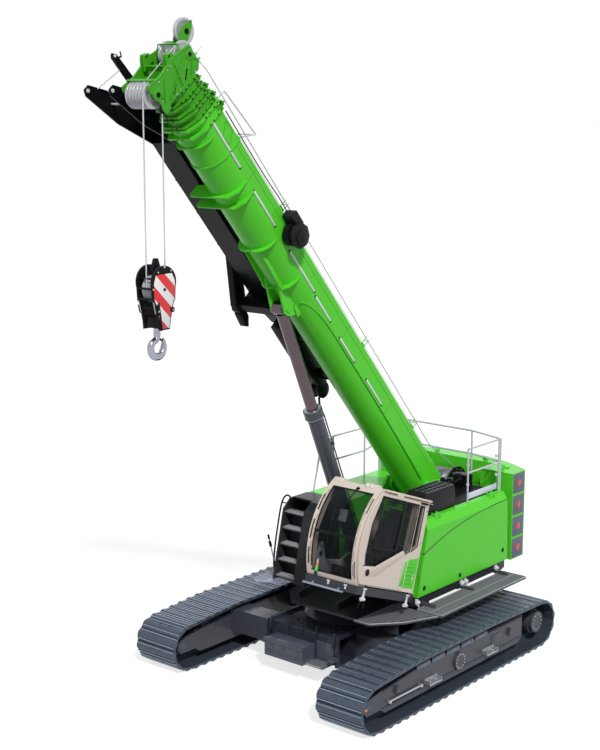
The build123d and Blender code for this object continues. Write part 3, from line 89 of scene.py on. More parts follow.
def white_for_camera(tree, shader, white, output):
    """The camera and mirrors see the white shader; everything else sees the first one."""
    path = node(tree, "ShaderNodeLightPath").outputs
    direct = maths(tree, "MAXIMUM", path["Is Camera Ray"], path["Is Transmission Ray"])
    seen = maths(tree, "MAXIMUM", direct, path["Is Glossy Ray"])
    mix = node(tree, "ShaderNodeMixShader", {"Fac": seen, 1: shader.outputs[0], 2: white.outputs[0]})
    node(tree, output, {"Surface": mix.outputs[0]})


def shown(name, data):
    """New object in the scene."""
    obj = bpy.data.objects.new(name, data)
    scene.collection.objects.link(obj)
    return obj


def sun(name, energy, aim, spread, color):
    """Distant lamp; spread is its angle in degrees."""
    light = bpy.data.lights.new(name, "SUN")
    light.energy, light.angle, light.color = energy, math.radians(spread), color
    shown(name, light).rotation_euler = Vector(aim).to_track_quat("-Z", "Y").to_euler()


scene.world = bpy.data.worlds.new("soft sky")
sky = cleared(scene.world)
white_for_camera(sky, node(sky, "ShaderNodeBackground", {"Color": (0.93, 0.96, 1.0, 1), "Strength": 0.50}),
                 node(sky, "ShaderNodeBackground", {"Color": (1, 1, 1, 1), "Strength": 1.0}),
                 "ShaderNodeOutputWorld")
sun("sun", 2.6, (-0.50, -0.70, -0.85), 6, (1.0, 0.98, 0.95))
sun("fill", 0.25, (0.8, 0.9, -0.5), 40, (0.92, 0.95, 1.0))

reach = 80
floor_mesh = bpy.data.meshes.new("floor")
floor_mesh.from_pydata([(-reach, -reach, 0), (reach, -reach, 0), (reach, reach, 0), (-reach, reach, 0)],
                       [], [(0, 1, 2, 3)])
floor_paint = bpy.data.materials.new("pale floor")
tree = cleared(floor_paint)
matt = node(tree, "ShaderNodeBsdfDiffuse", {"Color": (0.34, 0.34, 0.345, 1)})
glow = node(tree, "ShaderNodeEmission", {"Color": (1, 1, 1, 1), "Strength": 0.74})
lit = node(tree, "ShaderNodeAddShader", {0: matt.outputs[0], 1: glow.outputs[0]})
white_for_camera(tree, matt, lit, "ShaderNodeOutputMaterial")
floor_mesh.materials.append(floor_paint)
shown("floor", floor_mesh)

lens = bpy.data.cameras.new("camera")
lens.lens, lens.sensor_width, lens.clip_end = 69.46, 36.0, 200.0
scene.camera = shown("camera", lens)
scene.camera.location = (19.08, 14.97, 9.586)
down, heading = math.radians(10.74), math.radians(220.2)
scene.camera.rotation_euler = (math.pi / 2 - down, 0, heading - math.pi / 2)

# ---------------------------------------------------------------- tracks
# Two crawler chains of cast shoes, blue-grey from the mill, bolted to forged links that run over
# a welded side frame. Rolling has worn the grousers bright and left dust in the corners. The grousers are
# lighter still with a painted highlight, and black bars in the gaps and black floors in the mud holes are
# painted shade.


def group(name, kind, inputs, outputs):
    """New node group with named sockets; gives the group and its input node's sockets."""
    tree = bpy.data.node_groups.new(name, kind)
    for direction, rows in (("INPUT", inputs), ("OUTPUT", outputs)):
        for label, sort, *value in rows:
            made = tree.interface.new_socket(label, in_out=direction, socket_type=f"NodeSocket{sort}")
            if value:
                made.default_value = value[0]
    return tree, node(tree, "NodeGroupInput").outputs


def weathering_group():
    """Colour, roughness and height of a finish that has stood outdoors."""
    tree, given = group("Weathering", "ShaderNodeTree",
                        (("Color", "Color", (0.5, 0.5, 0.5, 1)),
                         ("Dust Color", "Color", (0.150, 0.145, 0.140, 1)),
                         ("Mottle", "Float", 0.1), ("Dust", "Float", 0.1), ("Roughness", "Float", 0.4),
                         ("Grain Scale", "Float", 40.0)),
                        (("Color", "Color"), ("Roughness", "Float"), ("Height", "Float")))
    place = node(tree, "ShaderNodeTexCoord").outputs["Object"]

    def noise(**values):
        return node(tree, "ShaderNodeTexNoise", {"Vector": place, **values}).outputs["Fac"]

    broad, cloudy = noise(Scale=1.7, Detail=5.0, Roughness=0.6), noise(Scale=9.0, Detail=6.0, Roughness=0.6)
    grain = noise(Scale=given["Grain Scale"], Detail=3.0)
    spread = maths(tree, "SUBTRACT", maths(tree, "ADD", broad, cloudy), 1.0)
    value = maths(tree, "ADD", maths(tree, "MULTIPLY", spread, given["Mottle"]), 1.0)
    shade = node(tree, "ShaderNodeHueSaturation", {"Color": given["Color"], "Value": value})
    height = node(tree, "ShaderNodeSeparateXYZ", {0: place}).outputs["Z"]
    low = node(tree, "ShaderNodeMapRange",
               {"Value": height, "From Min": 2.6, "From Max": 0.0, "To Min": 0.35, "To Max": 1.0})
    patch = node(tree, "ShaderNodeMapRange", {"Value": cloudy, "From Min": 0.42, "From Max": 0.72})
    dust = maths(tree, "MULTIPLY", maths(tree, "MULTIPLY", low.outputs[0], patch.outputs[0]), given["Dust"])
    mix = node(tree, "ShaderNodeMix", data_type="RGBA")
    for name, source in (("Factor", dust), ("A", shade.outputs[0]), ("B", given["Dust Color"])):
        tree.links.new(source, mix.inputs[name])
    rough = maths(tree, "ADD", given["Roughness"],
                  maths(tree, "MULTIPLY", maths(tree, "SUBTRACT", cloudy, 0.5), 0.10))
    node(tree, "NodeGroupOutput", {"Color": mix.outputs["Result"],
                                   "Roughness": maths(tree, "ADD", rough, maths(tree, "MULTIPLY", dust, 0.4)),
                                   "Height": maths(tree, "ADD", grain, maths(tree, "MULTIPLY", cloudy, 0.5))})
    return tree


WEATHERING = weathering_group()


def material(name, slot, weather, shader, bump=None, paint=None):
    """Material on the shared weathering. paint(tree) may add a pattern over the base colour."""
    made = bpy.data.materials.new(name)
    made["slot"] = slot
    tree = cleared(made)
    worn = node(tree, "ShaderNodeGroup", node_tree=WEATHERING)
    for key, value in weather.items():
        worn.inputs[key].default_value = value
    surface = node(tree, "ShaderNodeBsdfPrincipled", {**shader, "Base Color": worn.outputs["Color"]})
    if bump is not None:
        relief = node(tree, "ShaderNodeBump",
                      {"Strength": bump, "Distance": 0.01, "Height": worn.outputs["Height"]})
        tree.links.new(relief.outputs[0], surface.inputs["Normal"])
        tree.links.new(worn.outputs["Roughness"], surface.inputs["Roughness"])
    if paint:
        tree.links.new(paint(tree), worn.inputs["Color"])
    node(tree, "ShaderNodeOutputMaterial", {"Surface": surface.outputs[0]})
    return made


def finish(name, slot, color, roughness=0.4, metal=0.0, mottle=0.1, dust=0.1, grain=40.0, bump=0.05,
           coat=0.0, paint=None):
    """Weathered opaque finish; dark paints shine less than pale ones."""
    shine = 0.08 if max(color) < 0.07 else 0.20
    return material(name, slot, {"Color": (*color, 1), "Mottle": mottle, "Dust": dust, "Roughness": roughness,
                                 "Grain Scale": grain},
                    {"Metallic": metal, "Coat Weight": coat, "Coat Roughness": 0.08,
                     "Specular IOR Level": shine},
                    bump, paint)


def finish_nodes(paint, *names):
    """Gives CAD nodes their finish."""
    for name in names:
        mesh = frame["nodes"][name].data
        if mesh.materials:
            mesh.materials[0] = paint
        else:
            mesh.materials.append(paint)


def baked(obj):
    """Replaces an object's mesh with its evaluated one, and drops its modifiers."""
    bpy.context.view_layer.update()
    mesh = bpy.data.meshes.new_from_object(obj.evaluated_get(bpy.context.evaluated_depsgraph_get()))
    obj.modifiers.clear()
    obj.data = mesh
    return mesh


def settle(obj, body, paint, replaced=(), smooth=32.0):
    """Shades a finished piece, names its finish and lets it ride."""
    if not obj.data.materials:
        obj.data.materials.append(paint)
    obj.data.shade_smooth()
    obj.data.set_sharp_from_angle(angle=math.radians(smooth))
    if replaced:
        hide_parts(*replaced)
    if body:
        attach(obj, body)
    return obj


def from_shape(name, shape, place=None):
    """Turns a bmesh into an object."""
    bmesh.ops.recalc_face_normals(shape, faces=shape.faces)
    if place is not None:
        bmesh.ops.transform(shape, matrix=place, verts=shape.verts)
    mesh = bpy.data.meshes.new(name)
    shape.to_mesh(mesh)
    shape.free()
    return shown(name, mesh)


def piece(name, body, paint, boxes=(), rods=(), slabs=(), shape=None, place=None, bevel=0.0, replaced=(),
          smooth=32.0, steps=2):
    """Finished piece that rides on a body, made of boxes (low, high), round bars (start, end,
    radius, sides) and slabs (outline, axis, near, far), or of a shape that is given."""
    shape = shape or bmesh.new()
    for low, high in boxes:
        size = Vector(high) - Vector(low)
        centre = Matrix.Translation((Vector(low) + Vector(high)) / 2)
        bmesh.ops.create_cube(shape, size=1.0, matrix=centre @ Matrix.Diagonal((*size, 1)))
    for start, end, radius, sides in rods:
        axis = Vector(end) - Vector(start)
        turn = axis.to_track_quat("Z", "Y").to_matrix().to_4x4()
        bmesh.ops.create_cone(shape, cap_ends=True, segments=sides, radius1=radius, radius2=radius,
                              depth=axis.length,
                              matrix=Matrix.Translation((Vector(start) + Vector(end)) / 2) @ turn)
    for row in slabs:
        slab(shape, *row)
    obj = from_shape(name, shape, place)
    if bevel:
        edge = obj.modifiers.new("edges", "BEVEL")
        edge.width, edge.segments, edge.limit_method = bevel, steps, "ANGLE"
        edge.angle_limit = math.radians(35)
        baked(obj)
    return settle(obj, body, paint, replaced, smooth)


def slab(shape, outline, axis, near, far):
    """Flat outline thickened along an axis: 0 takes (y, z) points, 1 takes (x, z), 2 takes (x, y)."""
    first, second = ([shape.verts.new([*point[:axis], depth, *point[axis:]]) for point in outline]
                     for depth in (near, far))
    shape.faces.new(first)
    shape.faces.new(second[::-1])
    for index in range(len(outline)):
        after = (index + 1) % len(outline)
        shape.faces.new((first[index], second[index], second[after], first[after]))


def pins(spots, axis, near, far, radius, sides):
    """Short round bars along an axis, one at each (first, second) place across it."""
    return [([*spot[:axis], near, *spot[axis:]], [*spot[:axis], far, *spot[axis:]], radius, sides)
            for spot in spots]


def chain(points, radius, sides):
    """Round bars from each point to the next."""
    return [(start, end, radius, sides) for start, end in zip(points, points[1:])]


def tube(name, points, radius, body, paint, place=None, sides=4, smooth_path=True):
    """Bent tube or hose along a path, made a mesh."""
    curve = bpy.data.curves.new(name, "CURVE")
    curve.dimensions = "3D"
    spline = curve.splines.new("NURBS" if smooth_path else "POLY")
    spline.points.add(len(points) - 1)
    for point, spot in zip(spline.points, points):
        point.co = (*(place @ Vector(spot) if place is not None else spot), 1)
    if smooth_path:
        spline.use_endpoint_u, spline.order_u, spline.resolution_u = True, 3, 6
    curve.bevel_depth, curve.bevel_resolution, curve.use_fill_caps = radius, sides - 2, True
    source = shown(name, curve)
    bpy.context.view_layer.update()
    mesh = bpy.data.meshes.new_from_object(source.evaluated_get(bpy.context.evaluated_depsgraph_get()))
    bpy.data.objects.remove(source)
    settle(shown(name, mesh), body, paint, smooth=50)


def repeat_tree():
    """Geometry nodes: a bar or a hexagon head on every point, turned to the point's directions."""
    tree, given = group("Repeat On Points", "GeometryNodeTree",
                        (("Points", "Geometry"), ("Size", "Vector", (0.02, 0.02, 0.02)),
                         ("Round", "Bool", False),
                         ("Sides", "Int", 6), ("Finish", "Material")), (("Pieces", "Geometry"),))
    bar = node(tree, "GeometryNodeMeshCube", {"Size": given["Size"]})
    part = node(tree, "ShaderNodeSeparateXYZ", {0: given["Size"]}).outputs
    head = node(tree, "GeometryNodeMeshCylinder", {"Radius": maths(tree, "MULTIPLY", part["X"], 0.5),
                                                   "Depth": part["Z"], "Vertices": given["Sides"]})
    choice = node(tree, "GeometryNodeSwitch", {"Switch": given["Round"], "False": bar.outputs["Mesh"],
                                               "True": head.outputs["Mesh"]}, input_type="GEOMETRY")
    up, side = (node(tree, "GeometryNodeInputNamedAttribute", {"Name": label}, data_type="FLOAT_VECTOR")
                for label in ("up", "side"))
    aim = node(tree, "FunctionNodeAlignRotationToVector", {"Vector": up.outputs["Attribute"]}, axis="Z")
    roll = node(tree, "FunctionNodeAlignRotationToVector",
                {"Rotation": aim.outputs["Rotation"], "Vector": side.outputs["Attribute"]},
                axis="X", pivot_axis="Z")
    place = node(tree, "GeometryNodeInstanceOnPoints", {"Points": given["Points"],
                                                        "Instance": choice.outputs["Output"],
                                                        "Rotation": roll.outputs["Rotation"]})
    real = node(tree, "GeometryNodeRealizeInstances", {"Geometry": place.outputs["Instances"]})
    paint = node(tree, "GeometryNodeSetMaterial",
                 {"Geometry": real.outputs["Geometry"], "Material": given["Finish"]})
    node(tree, "NodeGroupOutput", {"Pieces": paint.outputs["Geometry"]})
    return tree


REPEAT = repeat_tree()


def grown(name, mesh, tree, values):
    """Object that a geometry nodes tree makes from a mesh and named values."""
    obj = shown(name, mesh)
    field = obj.modifiers.new("grow", "NODES")
    field.node_group = tree
    for item in tree.interface.items_tree:
        if item.in_out == "INPUT" and item.name in values:
            field[item.identifier] = values[item.name]
    baked(obj)
    return obj


def repeat(name, spots, size, body, paint, place=Matrix(), heads=0):
    """One bar or bolt head of a size on each (point, up, side); heads gives a head's sides."""
    mesh = bpy.data.meshes.new(name)
    mesh.from_pydata([tuple(place @ Vector(spot[0])) for spot in spots], [], [])
    for index, label in ((1, "up"), (2, "side")):
        field = mesh.attributes.new(label, "FLOAT_VECTOR", "POINT")
        for number, spot in enumerate(spots):
            field.data[number].vector = place.to_3x3() @ Vector(spot[index])
    settle(grown(name, mesh, REPEAT, {"Size": size, "Round": heads > 0, "Sides": max(heads, 3),
                                      "Finish": paint}),
           body, paint)


def circle(centre, radius, count, side):
    """Spots of a bolt circle that faces along y: centre (x, y, z), side 1 or -1."""
    x, y, z = centre
    return [((x + radius * math.cos(a), y, z + radius * math.sin(a)), (0, side, 0), (1, 0, 0))
            for a in (n * math.tau / count for n in range(count))]


UP, ALONG, ACROSS = (0, 0, 1), ((0, 0, 1), (1, 0, 0)), ((0, 0, 1), (0, 1, 0))
HANDS = (("left", 1), ("right", -1))
shoe_steel = finish("shoe steel", "shoe_steel", (0.074, 0.094, 0.128), 0.27, 0.50, 0.20, 0.20, 25, 0.06)
# grousers: bright where rolling has worn them, and lighter still as a painted highlight
rib_wear_and_highlight = finish("worn grouser steel with painted highlight", "shoe_steel", (0.27, 0.33, 0.42), 0.26, 0.55, 0.15, 0.05, 60, 0.05)
dark_paint = finish("dark grey paint", "dark_paint", (0.021, 0.023, 0.029), 0.34, 0.0, 0.12,
                    0.08, 45, 0.02, 0.1)
frame_grey = finish("track frame paint", "dark_paint", (0.056, 0.060, 0.078), 0.32, 0.1, 0.12,
                    0.12, 45, 0.02, 0.12)
black_steel = finish("black steel", "black_steel", (0.008, 0.008, 0.010), 0.32, 0.1, 0.12, 0.04, 60, 0.03)
bare_steel = finish("galvanised steel", "bare_steel", (0.50, 0.52, 0.55), 0.34, 0.80, 0.15, 0.06, 80, 0.04)
pad_steel = finish("slide pad steel", "dark_paint", (0.150, 0.170, 0.230), 0.30, 0.3, 0.12, 0.08, 60, 0.02)

for hand, side in HANDS:
    body = f"track_{hand}"
    low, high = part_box(f"{hand}_track_loop")
    middle = (low.y + high.y) / 2
    loop = frame["nodes"][f"{hand}_track_loop"].data
    crests = {}
    for face in loop.polygons:
        corners = [loop.vertices[i].co for i in face.vertices]
        ends = {(round(c.x, 4), round(c.z, 4)) for c in corners}
        if len(ends) != 2 or max(c.y for c in corners) - min(c.y for c in corners) < 0.8:
            continue
        first, second = sorted(ends)
        if 0.04 < math.dist(first, second) < 0.07:
            spot = ((first[0] + second[0]) / 2, (first[1] + second[1]) / 2)
            crests[spot] = Vector((face.normal.x, 0, face.normal.z)).normalized()
    gaps, ribs, bolts, holes = [], [], [], []
    for (x, z), out in crests.items():
        along = Vector((-out.z, 0, out.x))
        for spots, forward, offsets, depth in ((gaps, 0.101, (0,), 0.041), (ribs, -0.078, (0,), 0.022),
                                               (ribs, 0.078, (0,), 0.022), (holes, 0.038, (0,), 0.020),
                                               (bolts, 0.055, (-0.135, -0.085, 0.085, 0.135), 0.012)):
            spots += [(Vector((x, middle + y, z)) + along * forward - out * depth, out, along)
                      for y in offsets]
    # black bars down in the gaps between the shoes: painted shade
    repeat(f"{hand}_shoe_gap_shade", gaps, (0.010, 0.885, 0.010), body, black_steel)
    # grouser ribs, worn bright and painted lighter as a highlight
    repeat(f"{hand}_shoe_ribs", ribs, (0.014, 0.88, 0.026), body, rib_wear_and_highlight)
    repeat(f"{hand}_shoe_bolts", bolts, (0.030, 0.030, 0.018), body, shoe_steel, heads=6)
    # black floors set down in the mud holes: painted shade
    repeat(f"{hand}_shoe_mud_hole_shade", holes, (0.042, 0.060, 0.006), body, black_steel)
    finish_nodes(shoe_steel, f"{hand}_track_loop", f"{hand}_idler")
    finish_nodes(frame_grey, f"{hand}_track_rollers", f"{hand}_track_frame", f"{hand}_sprocket")
    finish_nodes(bare_steel, f"{hand}_track_steps")

    # bolted round cover at mid-length, hub bolts, and the pads that carry the chain
    repeat(f"{hand}_cover_bolts", circle((0, middle + side * 0.335, 0.44), 0.12, 14, side),
           (0.026, 0.026, 0.018),
           body, bare_steel, heads=6)
    spin = next(j for j in frame["joints"] if j["name"] == f"{hand}_sprocket_spin")["pos_m"]
    hub_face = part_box(f"{hand}_sprocket")[1 if side > 0 else 0].y
    repeat(f"{hand}_hub_bolts", circle((spin[0], hub_face, spin[2]), 0.14, 12, side), (0.024, 0.024, 0.016),
           f"sprocket_{hand}", bare_steel, heads=6)
    pad_starts = [0.86 - 0.42 * number for number in range(5)]
    outline = [(middle + side * y, z) for y, z in ((0.3005, 0.640), (0.326, 0.655), (0.326, 0.722),
                                                   (0.3005, 0.742))]
    piece(f"{hand}_slide_pads", body, pad_steel, bevel=0.004,
          slabs=[(outline, 0, x, x + 0.36) for x in pad_starts],
          rods=pins([(x + far, 0.690) for x in pad_starts for far in (0.06, 0.30)], 1,
                    middle + side * 0.320, middle + side * 0.334, 0.014, 8))

    # outside of the side frame: stiffening lips, lifting lugs, a grease hatch and the step gratings
    outer = middle + side * 0.30
    lip, hatch = outer + side * 0.008, sorted((outer, outer + side * 0.012))
    piece(f"{hand}_frame_trim", body, frame_grey, bevel=0.004,
          rods=[((x0, lip, z0), (x1, lip, z1), 0.011, 8) for x0, z0, x1, z1 in (
              (1.28, 0.665, 2.10, 0.575), (-1.93, 0.665, 1.28, 0.665), (-1.93, 0.30, 2.10, 0.30))]
          + pins([(-1.55, 0.52), (1.75, 0.52)], 1, outer, outer + side * 0.05, 0.022, 12),
          slabs=[([(x - 0.06, 0.45), (x + 0.06, 0.45), (x + 0.03, 0.56), (x - 0.03, 0.56)], 1,
                  outer + side * 0.0005, outer + side * 0.045) for x in (-1.55, 1.75)],
          boxes=[((-1.28, hatch[0], 0.36), (-0.98, hatch[1], 0.58))])
    treads = []
    for x in (0.98, -0.70):
        treads += [((x - 0.165, outer + side * (0.02 + 0.016 * n), 0.352), *ALONG) for n in range(6)]
        treads += [((x - 0.30 + 0.045 * n, outer + side * 0.06, 0.352), *ACROSS) for n in range(7)]
    repeat(f"{hand}_step_grating", treads, (0.10, 0.006, 0.012), body, bare_steel)
    amber = finish(f"{hand} amber reflector", "shoe_steel", (0.9, 0.28, 0.02), 0.2, 0.0, 0.05,
                   0.0, 200, 0.05, 0.6)
    near, far = sorted((outer - side * 0.01, outer + side * 0.012))
    piece(f"{hand}_reflector", body, amber, bevel=0.003, boxes=[((2.50, near, 0.385), (2.55, far, 0.415))])


# ---------------------------------------------------------------- carbody and slew ring
# Welded box with the slew ring's drum on top, in dark paint, with a blue-grey tool box and grate
# steps bolted to its ends. The ring is bright steel with dark greased teeth.


def position(tree):
    """Sockets of the place on the object: X, Y and Z."""
    place = node(tree, "ShaderNodeTexCoord").outputs["Object"]
    return node(tree, "ShaderNodeSeparateXYZ", {0: place}).outputs


def two_tone(tree, share, first, second):
    """Colour that goes from the first to the second with a share of 0 to 1."""
    mix = node(tree, "ShaderNodeMix", data_type="RGBA")
    tree.links.new(share, mix.inputs["Factor"])
    mix.inputs["A"].default_value, mix.inputs["B"].default_value = (*first, 1), (*second, 1)
    return mix.outputs["Result"]


def by_height(level, below, above):
    """A paint that changes at a height, where two finishes meet."""
    return lambda tree: two_tone(tree, maths(tree, "GREATER_THAN", position(tree)["Z"], level), below, above)


GREEN = (0.086, 0.600, 0.024)
DARK = (0.021, 0.023, 0.029)
carbody_paint = finish("carbody paint", "dark_paint", (0.024, 0.028, 0.042), 0.26, 0.0, 0.10, 0.08,
                       45, 0.015, 0.25)
tool_paint = finish("tool box paint", "dark_paint", (0.074, 0.084, 0.112), 0.30, 0.1, 0.10,
                    0.08, 45, 0.015, 0.2)
finish_nodes(carbody_paint, "carbody")
finish_nodes(tool_paint, "carbody_fittings")
finish_nodes(finish("slew ring", "bare_steel", (0.5, 0.5, 0.5), 0.3, 0.7, 0.2, 0.05, 90, 0.05,
                    paint=by_height(0.982, (0.50, 0.51, 0.53), (0.022, 0.022, 0.024))), "slew_ring")
turns = [(math.cos(n * math.tau / 48), math.sin(n * math.tau / 48)) for n in range(48)]
repeat("drum_bolts", [((0.678 * x, 0.678 * y, 0.965), UP, (x, y, 0)) for x, y in turns],
       (0.022, 0.022, 0.016),
       "carbody", bare_steel, heads=6)
piece("tool_box_trim", "carbody", tool_paint, bevel=0.003,
      boxes=[((1.618, -0.57, 0.40), (1.625, 0.23, 0.408)), ((1.30, -0.585, 0.600), (1.58, 0.245, 0.606))]
      + [((1.602, y, 0.44), (1.618, y + 0.06, 0.52)) for y in (-0.45, 0.10)],
      rods=[((1.600, y - 0.03, 0.585), (1.600, y + 0.09, 0.585), 0.012, 10) for y in (-0.45, 0.10)]
      + [((1.622, -0.22, 0.50), (1.622, -0.12, 0.50), 0.009, 8)])
grate = [((x0 + 0.02 + 0.03 * n, y, 0.356), *ACROSS) for x0, y in ((1.32, 0.48), (-1.565, 0))
         for n in range(9)]
repeat("step_grate_bars", grate, (0.32, 0.006, 0.012), "carbody", bare_steel)
cross = [(1.435, 0.32 + 0.04 * n) for n in range(9)] + [(-1.435, -0.32 + 0.04 * n) for n in range(17)]
repeat("step_cross_bars", [((x, y, 0.357), *ALONG) for x, y in cross], (0.25, 0.006, 0.014),
       "carbody", bare_steel)
lugs = [(sign, y) for sign in (1, -1) for y in (-0.69 + 0.01 * sign, 0.69 + 0.01 * sign)]
lug = [(1.30, 0.62), (1.30, 0.90), (1.315, 0.90), (1.36, 0.80), (1.36, 0.66)]
piece("carbody_lugs", "carbody", carbody_paint, bevel=0.004,
      slabs=[([(sign * x, z) for x, z in lug], 1, y - 0.012, y + 0.012) for sign, y in lugs],
      rods=[((sign * 1.337, y - 0.02, 0.73), (sign * 1.337, y + 0.02, 0.73), 0.018, 12) for sign, y in lugs],
      boxes=[((sign * 1.275 - 0.004, y - 0.008, 0.70), (sign * 1.300, y + 0.008, 0.93))
             for sign in (1, -1) for y in (-0.30, 0.0, 0.30)])
for hand, side in HANDS:
    for number, x in enumerate((0.20, 0.12, -0.16)):
        tube(f"{hand}_drive_hose_{number}",
             [(x, side * 0.60, 0.80), (x, side * 0.72, 0.84 + 0.02 * number), (x + 0.02, side * 0.79, 0.86),
              (x + 0.02, side * 0.85, 0.80), (x + 0.01, side * 0.86, 0.70)], 0.014, "carbody", black_steel)

# ---------------------------------------------------------------- superstructure frame
# Two main plates and a deck, welded. The plates wear the machine's green down to the housings'
# lower edge; deck, sills and the cylinder's foot are dark. Hoses cross the deck to the boom's foot.
green = finish("green paint", "green_paint", GREEN, 0.30, 0.0, 0.06, 0.03, 50, 0.004, 0.06)
# A darker copy of the machine's green that paints in shade. The telescopic sections, the boom head with its
# ribs, the collar brackets, the cover's fold strips and the right housing's door seams wear it.
green_in_painted_shade = finish("green in painted shade", "green_paint", (0.050, 0.360, 0.010), 0.34, 0.0,
                    0.08, 0.04, 50, 0.01,
                    0.1)
finish_nodes(finish("frame paint", "dark_paint", GREEN, 0.32, 0.0, 0.08, 0.05, 50, 0.01, 0.1,
                    paint=by_height(1.352, DARK, GREEN)), "upper_frame")
finish_nodes(green, "right_housing", "left_housing")
deck_bolts = []
for side in (1, -1):
    deck_bolts += [((x, side * 0.4602, z), (0, side, 0), (1, 0, 0)) for x, z in (
        (-1.95, 2.50), (-1.95, 2.66), (-1.60, 2.50), (-1.60, 2.66), (-2.45, 2.35),
        (-2.95, 2.35), (-2.95, 2.10),
        (-2.45, 2.10), (-0.9, 1.55), (-1.1, 1.62), (-1.3, 1.69))]
    deck_bolts += circle((-1.78, side * 0.4755, 2.67), 0.105, 10, side)
repeat("main_plate_bolts", deck_bolts, (0.026, 0.026, 0.018), "upper", bare_steel, heads=6)
piece("deck_valves", "upper", black_steel, bevel=0.006,
      boxes=[((-0.30, 0.10, 1.16), (0.02, 0.34, 1.34)), ((-0.26, -0.36, 1.16), (-0.02, -0.16, 1.30))],
      rods=pins([(-0.24 + 0.075 * n, 0.22) for n in range(4)], 2, 1.34, 1.40, 0.022, 14))
for number in range(5):
    y = 0.300 - 0.026 * number
    tube(f"deck_hose_{number}", [(-0.02, y, 1.38), (0.10, y, 1.50), (-0.15, y - 0.02, 1.66),
                                 (-0.55, y - 0.03, 1.90), (-0.85, y - 0.02, 2.05)], 0.013,
         "upper", black_steel)

# ---------------------------------------------------------------- engine housing and cover
# Green sheet-metal housing. Its outer wall is one hinged cover with a folded top edge, a thin
# dark coach line, two round flush latches and a small square vent.


def coach_line(tree):
    """Green with a thin dark line that climbs from mid height at the front and levels at the rear."""
    place = position(tree)
    share = maths(tree, "MAXIMUM", maths(tree, "ADD", maths(tree, "MULTIPLY", place["X"], 1 / 2.78), 1.0),
                  0.0)
    height = maths(tree, "SUBTRACT", 2.49, maths(tree, "MULTIPLY", maths(tree, "POWER", share, 2.4), 0.45))
    near = maths(tree, "ABSOLUTE", maths(tree, "SUBTRACT", place["Z"], height))
    slope = maths(tree, "MULTIPLY", maths(tree, "POWER", share, 1.4), 0.0055)
    on_line = maths(tree, "LESS_THAN", near, maths(tree, "ADD", slope, 0.0065))
    outside = maths(tree, "GREATER_THAN", place["Y"], 1.46)
    return two_tone(tree, maths(tree, "MULTIPLY", on_line, outside), GREEN, (0.012, 0.03, 0.012))


finish_nodes(finish("engine cover paint", "green_paint", GREEN, 0.26, 0.0, 0.05, 0.03, 50, 0.003, 0.08,
                    paint=coach_line), "left_cover")
finish_nodes(finish("engine casting", "engine_grey", (0.10, 0.105, 0.11), 0.45, 0.5, 0.3, 0.2, 40, 0.2),
             "engine")
latches = ((-0.130, 1.480), (-2.580, 1.560))
piece("cover_latches", "engine_cover", black_steel, bevel=0.002,
      rods=pins(latches, 1, 1.4782, 1.4875, 0.043, 28)
      + pins([(x, z + 0.022) for x, z in latches], 1, 1.484, 1.492, 0.008, 10),
      boxes=[((x - 0.030, 1.484, z - 0.012), (x + 0.030, 1.4935, z + 0.012)) for x, z in latches]
      + [((-1.235, 1.487, 1.405), (-1.165, 1.4925, 1.475))]
      + [((-1.230, 1.491, 1.413 + 0.016 * n), (-1.170, 1.4945, 1.419 + 0.016 * n)) for n in range(4)])
# thin strips of the green with painted shade along the cover's lower and front folds: painted shade in the
# creases
piece("cover_fold_shade", "engine_cover", green_in_painted_shade, boxes=[((-2.70, 1.4896, 1.372), (0.02, 1.4915, 1.377)),
                                                        ((0.012, 1.4896, 1.372), (0.016, 1.4915, 2.47))])

# panel doors, grilles and latches on the right housing
low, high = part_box("right_housing")
sill, lintel = low.z + 0.08, high.z - 0.16
latches = [low.x + 0.86, low.x + 1.76, high.x - 0.16]
# the door seams are drawn in the green with painted shade
piece("right_door_seams", "upper", green_in_painted_shade,
      boxes=[((x - 0.003, low.y - 0.0015, sill), (x + 0.003, low.y + 0.001, lintel))
             for x in (low.x + 0.06, low.x + 0.95, low.x + 1.85, high.x - 0.06)]
      + [((low.x + 0.06, low.y - 0.0015, z - 0.003), (high.x - 0.06, low.y + 0.001, z + 0.003))
         for z in (sill, lintel)])
repeat("right_grille_slots", [((low.x + shift + 0.28, low.y - 0.003, low.z + 0.62 + 0.034 * n),
                               (0, -1, 0), (1, 0, 0))
                              for shift in (0.22, 1.08) for n in range(14)], (0.560, 0.012, 0.006),
       "upper", black_steel)
piece("right_door_latches", "upper", black_steel, bevel=0.002,
      rods=pins([(x, low.z + 0.34) for x in latches], 1, low.y - 0.010, low.y, 0.040, 24),
      boxes=[((x - 0.028, low.y - 0.014, low.z + 0.330), (x + 0.028, low.y - 0.009, low.z + 0.350))
             for x in latches])

# anti-slip mat, filters and hose runs on the housing's top
ROOF = 2.646
piece("housing_mat", "upper", black_steel, bevel=0.002,
      boxes=[((-2.660, 0.500, 2.6402), (-1.330, 1.300, ROOF))])
repeat("housing_mat_bars", [((-2.640 + 0.0515 * n, 0.90, 2.648), *ACROSS) for n in range(26)],
       (0.780, 0.010, 0.006),
       "upper", dark_paint)
tanks = []
for x, y, radius, top in ((-2.30, 0.66, 0.085, ROOF + 0.26), (-2.08, 0.62, 0.060, ROOF + 0.20),
                          (-1.92, 0.60, 0.050, ROOF + 0.24)):
    tanks += [((x, y, ROOF), (x, y, top), radius, 24), ((x, y, top), (x, y, top + 0.020), radius * 0.7, 24)]
piece("housing_filters", "upper", black_steel, bevel=0.008, rods=tanks,
      boxes=[((-2.62, 0.53, ROOF), (-2.42, 0.78, 2.86)), ((-1.84, 0.53, ROOF), (-1.58, 0.66, 2.78))])
for number, (x, y) in enumerate(((-2.25, 0.80), (-2.05, 0.76), (-1.90, 0.72), (-1.74, 0.70))):
    tube(f"housing_hose_{number}", [(x, y, 2.66), (x, y, 2.80), (x + 0.12, y + 0.02, 2.88),
                                    (x + 0.26, y - 0.05, 2.78),
                                    (x + 0.30, y - 0.06, 2.66)], 0.015, "upper", black_steel)

